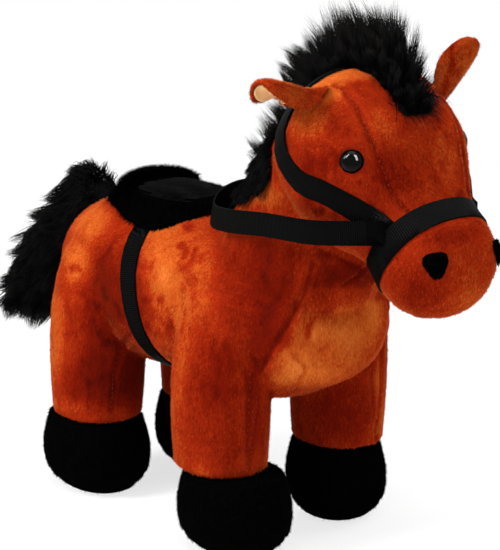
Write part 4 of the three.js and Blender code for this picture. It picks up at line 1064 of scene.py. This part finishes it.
# Tail root: hair from the seam round the tab to the front of the plume, so that no gap shows
ROOT_HAIRS = 1500
ROOT_RADIUS = 0.28 * MM
ROOT_START = 1.5 * MM  # from the tab's front end to the first roots
ROOT_RING = (2.6, 0, 1.2)  # mm: half the tab, side to side and up
ROOT_SPREAD = (10, 0, 8)  # mm: how far tips stand from the tab
ROOT_SPREADS = (0.5, 1)
ROOT_TIPS = (104, 113)  # mm: how far back tips end
ROOT_BEND = (0.75, 0.4, 0.75)  # shares of the way from root to tip
ROOT_DROOP = (0, 0, -2 * MM)


def tail_root_hair():
    rng = np.random.default_rng(63)
    tab_low, tab_high = (np.array(corner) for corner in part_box("tail_tab"))
    centre = (tab_low + tab_high) / 2
    turn = rng.uniform(0, FULL_TURN, ROOT_HAIRS)
    round_tab = np.stack([np.cos(turn), np.zeros(ROOT_HAIRS), np.sin(turn)], 1)
    roots = centre + round_tab * np.array(ROOT_RING) * MM
    roots[:, 1] = rng.uniform(tab_low[1] + ROOT_START, tab_high[1], ROOT_HAIRS)
    spread = np.array(ROOT_SPREAD) * rng.uniform(*ROOT_SPREADS, (ROOT_HAIRS, 1)) * MM
    tips = centre + round_tab * spread + np.array(ROOT_DROOP)
    tips[:, 1] = rng.uniform(*ROOT_TIPS, ROOT_HAIRS) * MM
    bends = roots + (tips - roots) * np.array(ROOT_BEND) + rng.normal(0, TIP_STRAY, tips.shape)
    tuft = hairs("tail_root_hair", roots, bends, tips, hair_radii(ROOT_RADIUS, ROOT_HAIRS, rng), None, rng)
    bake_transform(tuft)


tail_root_hair()

# Ears
EAR_GROWTH = 0.15 * MM
EAR_VOXEL = 0.75 * MM
EAR_NAP_SEED = 3.0
EAR_PAINTED_LIGHT = {"right": 0.05, "left": 0.14}  # painted light: the ears' tone is raised above the body's, the left ear's more
LINING_ROUNDS = 3
LINING_CLEARANCE = 0.9 * MM


def make_ear(side, seed):
    body, outer_node, lining_node = f"ear_{side}", f"ear_outer_{side}", f"ear_lining_{side}"

    def tones(points):
        # the ears' tones carry painted light
        return nap_and_painted_light_tone(points, seed=EAR_NAP_SEED, painted_light=EAR_PAINTED_LIGHT[side])

    outer = cover([outer_node], EAR_GROWTH, EAR_VOXEL)
    set_attribute(outer, "nap", tones(read(outer.vertices, "co")))
    make_piece(f"ear_skin_{side}", outer, body, plush, replaces=[outer_node])
    lining_mesh = refined(cad_shape(lining_node), LINING_ROUNDS)
    make_piece(f"ear_satin_{side}", lining_mesh, body, satin, replaces=[lining_node])
    pile(f"ear_pile_{side}", outer, 7000, length=1.6 * MM, width=0.5 * MM, lean=60, seed=seed, body=body,
         material=plush, tones=tones, clear_of=[cad_tree(lining_node)],
         clearance=LINING_CLEARANCE)


make_ear("right", 71)
make_ear("left", 72)

# Saddle: each part with its voxel, its pile's length and count, its cloth, and what its pile keeps clear of
PATCH_GROWTH = 0.1 * MM  # also of the nostrils
SADDLE_CLEARANCE = 0.7 * MM
saddle_parts = (
    ("saddle_pad", 1.2 * MM, 3.2 * MM, 20000, black_plush, [cad_tree("saddle_seat", "saddle_cantle")]),
    ("saddle_seat", 1.1 * MM, 1.0 * MM, 3500, worn_plush, []),
    ("saddle_cantle", 1.1 * MM, 3.4 * MM, 9000, black_plush, []),
)
for i, (node, voxel, length, count, cloth, clear_of) in enumerate(saddle_parts):
    mesh = cover([node], PATCH_GROWTH, voxel)
    make_piece(f"{node}_skin", mesh, "horse", cloth, replaces=[node])
    pile(f"{node}_pile", mesh, count, length, width=0.5 * MM, lean=45, seed=81 + i, material=cloth,
         clear_of=clear_of, clearance=SADDLE_CLEARANCE)

# Nostrils
NOSTRIL_VOXEL = 0.6 * MM

for i, side in enumerate(SIDES):
    node = f"nostril_{side}"
    mesh = cover([node], PATCH_GROWTH, NOSTRIL_VOXEL)
    make_piece(f"nostril_patch_{side}", mesh, "horse", black_plush, replaces=[node])
    pile(f"nostril_pile_{side}", mesh, 900, length=1.3 * MM, width=0.45 * MM, lean=55, seed=91 + i)

# Eyes
EYE_SHANK = 11  # mm
EYE_PROFILE = (  # mm: out from the axis, and up from the rim
    (0, -EYE_SHANK), (2, -EYE_SHANK), (2, 0), (5.7, 0), (6.1, 0.4), (6.1, 0.9), (5.8, 1.3), (5.5, 1.35),
    (5.3, 2.2), (4.8, 3.05), (3.9, 3.8), (2.8, 4.25), (1.4, 4.5), (0, 4.58),
)
EYE_SEGMENTS = 48
EYE_MERGE_REACH = 0.01 * MM


def eye_shape(foot, outward):
    """The eye's profile spun round its axis"""
    shape = bmesh.new()
    turn = outward.to_track_quat("Z", "Y").to_matrix().to_4x4()
    place = Matrix.Translation(foot) @ turn
    verts = [shape.verts.new(place @ (Vector((r, 0, h)) * MM)) for r, h in EYE_PROFILE]
    edges = [shape.edges.new(pair) for pair in zip(verts, verts[1:])]
    bmesh.ops.spin(shape, geom=verts + edges, cent=foot, axis=outward, angle=FULL_TURN, steps=EYE_SEGMENTS,
                   use_merge=True)
    bmesh.ops.remove_doubles(shape, verts=shape.verts, dist=EYE_MERGE_REACH)
    bmesh.ops.recalc_face_normals(shape, faces=shape.faces)
    return shape


def dress(node, material):
    """Give a CAD solid that stays in view its material"""
    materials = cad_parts[node].data.materials
    materials.clear()
    materials.append(material)


for side in SIDES:
    cad_eye = cad_shape(f"eye_{side}")
    poles = sorted(cad_eye.verts, key=lambda vert: -len(vert.link_edges))[:2]
    inner_pole, outer_pole = sorted(poles, key=lambda vert: abs(vert.co.x))
    outward = (outer_pole.co - inner_pole.co).normalized()
    foot = inner_pole.co + outward * EYE_SHANK * MM
    cad_eye.free()
    make_piece(f"safety_eye_{side}", mesh_of(eye_shape(foot, outward)), "horse", eye_plastic,
               replaces=[f"eye_{side}"])
    dress(f"eye_washer_{side}", washer_plastic)

dress("tail_tab", backing)
dress("tail_backing", backing)

# Ribbons: each vertex holds how far along the ribbon it is, for the ribs
NOSE_UP = Vector((0, -48, 54)).normalized()  # along the muzzle's height, in the plane of the noseband
RIBBON_SLICES = 24
FRONT_END = 9 * MM  # what is this near a ribbon's foremost point is its two ends
TOP_END = 4 * MM  # the same from the girth's highest point
RIBBON_EDGE = math.radians(40)
SHORTEST_EDGE = 1e-6


def run_round(mesh, centre):
    """Distance round the noseband"""
    offset = read(mesh.vertices, "co") - np.array(centre)
    across, high = offset[:, 0], offset @ np.array(NOSE_UP)
    return np.arctan2(high, across) * np.hypot(high, across).mean()


def run_between(mesh, ends_of):
    """Distance from the right end to the left: a share that runs evenly from 0 to 1, times the length"""
    points = read(mesh.vertices, "co")
    edges = read(mesh.edges, "vertices", np.int32, 2)
    total = len(points)
    field = np.zeros((total, total))
    weights = 1 / np.maximum(np.linalg.norm(points[edges[:, 0]] - points[edges[:, 1]], axis=1), SHORTEST_EDGE)
    field[edges[:, 0], edges[:, 1]] = -weights
    field[edges[:, 1], edges[:, 0]] = -weights
    np.fill_diagonal(field, -field.sum(1))
    known = np.zeros(total)
    for value, held in enumerate(ends_of(points)):
        field[held] = 0
        field[held, held] = 1
        known[held] = value
    place = np.linalg.solve(field, known)
    slices = np.array_split(points[np.argsort(place)], RIBBON_SLICES)
    middles = np.array([part.mean(0) for part in slices])
    span = np.linalg.norm(np.diff(middles, axis=0), axis=1).sum()
    # The middle of each end slice lies about a slice in from the ribbon's end.
    return place * span * (RIBBON_SLICES + 1) / (RIBBON_SLICES - 1)


def right_and_left(points, near):
    """The near points on the right, and those on the left"""
    return [np.where(near & (points[:, 0] * side > 0))[0] for side in (-1, 1)]


def front_ends(points):
    return right_and_left(points, points[:, 1] < points[:, 1].min() + FRONT_END)


def top_ends(points):
    return right_and_left(points, points[:, 2] > points[:, 2].max() - TOP_END)


nose_low, nose_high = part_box("noseband")
ribbons = (
    ("noseband", "noseband_ribbon", "horse", run_round, (nose_low + nose_high) / 2),
    ("headpiece", "headpiece_ribbon", "horse", run_between, front_ends),
    ("girth", "girth_ribbon", "horse", run_between, top_ends),
    ("reins", "rein_ribbon", "reins", run_between, front_ends),
)
for node, name, body, run_along, guide in ribbons:
    mesh = mesh_of(cad_shape(node))
    set_attribute(mesh, "run", run_along(mesh, guide))
    make_piece(name, mesh, body, ribbon, replaces=[node])
    mesh.set_sharp_from_angle(angle=RIBBON_EDGE)

# Studio
FLOOR_RADIUS = 1.6
FLOOR_SEGMENTS = 96
FADE_START, FADE_END = 0.16, 0.5  # how far out the paper turns to white backdrop
NEAR_WHITE = 0.72  # share of plain white in the paper before it fades
WORLD_LIGHT = 0.36  # how bright the world lights the horse, beside the white that the camera sees
LAMP_AIM = Vector((0, 0, 130)) * MM  # the horse's middle


def floor_material():
    """Pale seamless paper: it keeps the shadow, and fades into the white backdrop further out"""
    material = bpy.data.materials.new("seamless_paper")
    material.use_nodes = True
    tree = material.node_tree
    tree.nodes.clear()
    place = add_node(tree, "TexCoord").outputs["Object"]
    far = add_node(tree, "VectorMath", {"operation": "LENGTH"}, Vector=place).outputs["Value"]
    fading = {"From Min": FADE_START, "From Max": FADE_END}
    fade = add_node(tree, "MapRange", fading, Value=far).outputs["Result"]
    share = add_node(tree, "MapRange", {"To Min": NEAR_WHITE, "To Max": 1.0}, Value=fade).outputs["Result"]
    paper = add_node(tree, "BsdfDiffuse", {"Color": colour("#f4f4f4")}).outputs[0]
    white = add_node(tree, "Emission", {"Color": (1, 1, 1, 1), "Strength": 1.0}).outputs[0]
    seen = add_node(tree, "LightPath").outputs["Is Camera Ray"]
    mixed = add_node(tree, "Math", {"operation": "MULTIPLY"}, n0=share, n1=seen).outputs[0]
    shader = add_node(tree, "MixShader", None, Fac=mixed, n1=paper, n2=white).outputs[0]
    add_node(tree, "OutputMaterial", None, Surface=shader)
    return material


def add_floor():
    shape = bmesh.new()
    bmesh.ops.create_circle(shape, cap_ends=True, segments=FLOOR_SEGMENTS, radius=FLOOR_RADIUS)
    mesh = mesh_of(shape)
    mesh.materials.append(floor_material())
    floor = bpy.data.objects.new("floor", mesh)
    bpy.context.scene.collection.objects.link(floor)


def area_lamp(name, place, way, size, power):
    """A flat lamp that faces back along the way from what it lights"""
    lamp = bpy.data.objects.new(name, bpy.data.lights.new(name, "AREA"))
    lamp.data.shape = "RECTANGLE"
    lamp.data.size, lamp.data.size_y = size
    lamp.data.energy = power
    lamp.location = place
    lamp.rotation_euler = way.to_track_quat("Z", "Y").to_euler()
    bpy.context.scene.collection.objects.link(lamp)
    return lamp


def add_softbox(name, azimuth, elevation, reach, size, power):
    """A softbox that faces the horse; azimuth is measured from the front, towards its left"""
    turn, rise = math.radians(azimuth), math.radians(elevation)
    way = Vector((math.sin(turn) * math.cos(rise), -math.cos(turn) * math.cos(rise), math.sin(rise)))
    area_lamp(name, LAMP_AIM + way * reach, way, size, power)


# Window lights: the pixel at which each shows in the eye, and its width and height
GLINTS = (((347.5, 156.5), (0.16, 0.4)), ((357, 156.5), (0.3, 0.6)))
GLINT_REACH = 0.8
GLINT_LIGHT = 95  # how bright each window is beside white paper


def add_glints():
    """Window lights that only gloss shows: each hangs where the eye mirrors it at its pixel"""
    eye_tree = tree_of(bpy.data.objects["safety_eye_right"].data)
    for i, (pixel, size) in enumerate(GLINTS):
        spot, outward, _, _ = eye_tree.ray_cast(camera_place, sight(pixel))
        way = sight(pixel).reflect(outward)
        power = GLINT_LIGHT * math.pi * size[0] * size[1]
        lamp = area_lamp(f"window_{i}", spot + way * GLINT_REACH, way, size, power)
        lamp.visible_diffuse = False


def add_world():
    world = bpy.data.worlds.new("studio")
    bpy.context.scene.world = world
    world.use_nodes = True
    tree = world.node_tree
    tree.nodes.clear()
    path = add_node(tree, "LightPath")
    largest = {"operation": "MAXIMUM"}
    direct = add_node(tree, "Math", largest, n0=path.outputs["Is Camera Ray"],
                      n1=path.outputs["Is Transmission Ray"]).outputs[0]
    seen = add_node(tree, "Math", largest, n0=direct, n1=path.outputs["Is Glossy Ray"]).outputs[0]
    whiteness = {"To Min": WORLD_LIGHT, "To Max": 1.0}
    strength = add_node(tree, "MapRange", whiteness, Value=seen).outputs["Result"]
    light = add_node(tree, "Background", {"Color": (1, 1, 1, 1)}, Strength=strength).outputs[0]
    add_node(tree, "OutputWorld", None, Surface=light)


add_floor()
add_softbox("left_softbox", -105, 35, reach=1.1, size=(0.3, 0.4), power=14)
add_softbox("front_softbox", -20, 40, reach=1.3, size=(0.16, 0.24), power=6)
add_softbox("right_softbox", 75, 30, reach=1.2, size=(0.6, 0.9), power=9)
add_softbox("top_softbox", -60, 82, reach=1.1, size=(0.8, 0.8), power=8)
add_glints()
add_world()
bpy.context.scene.view_settings.view_transform = "Standard"
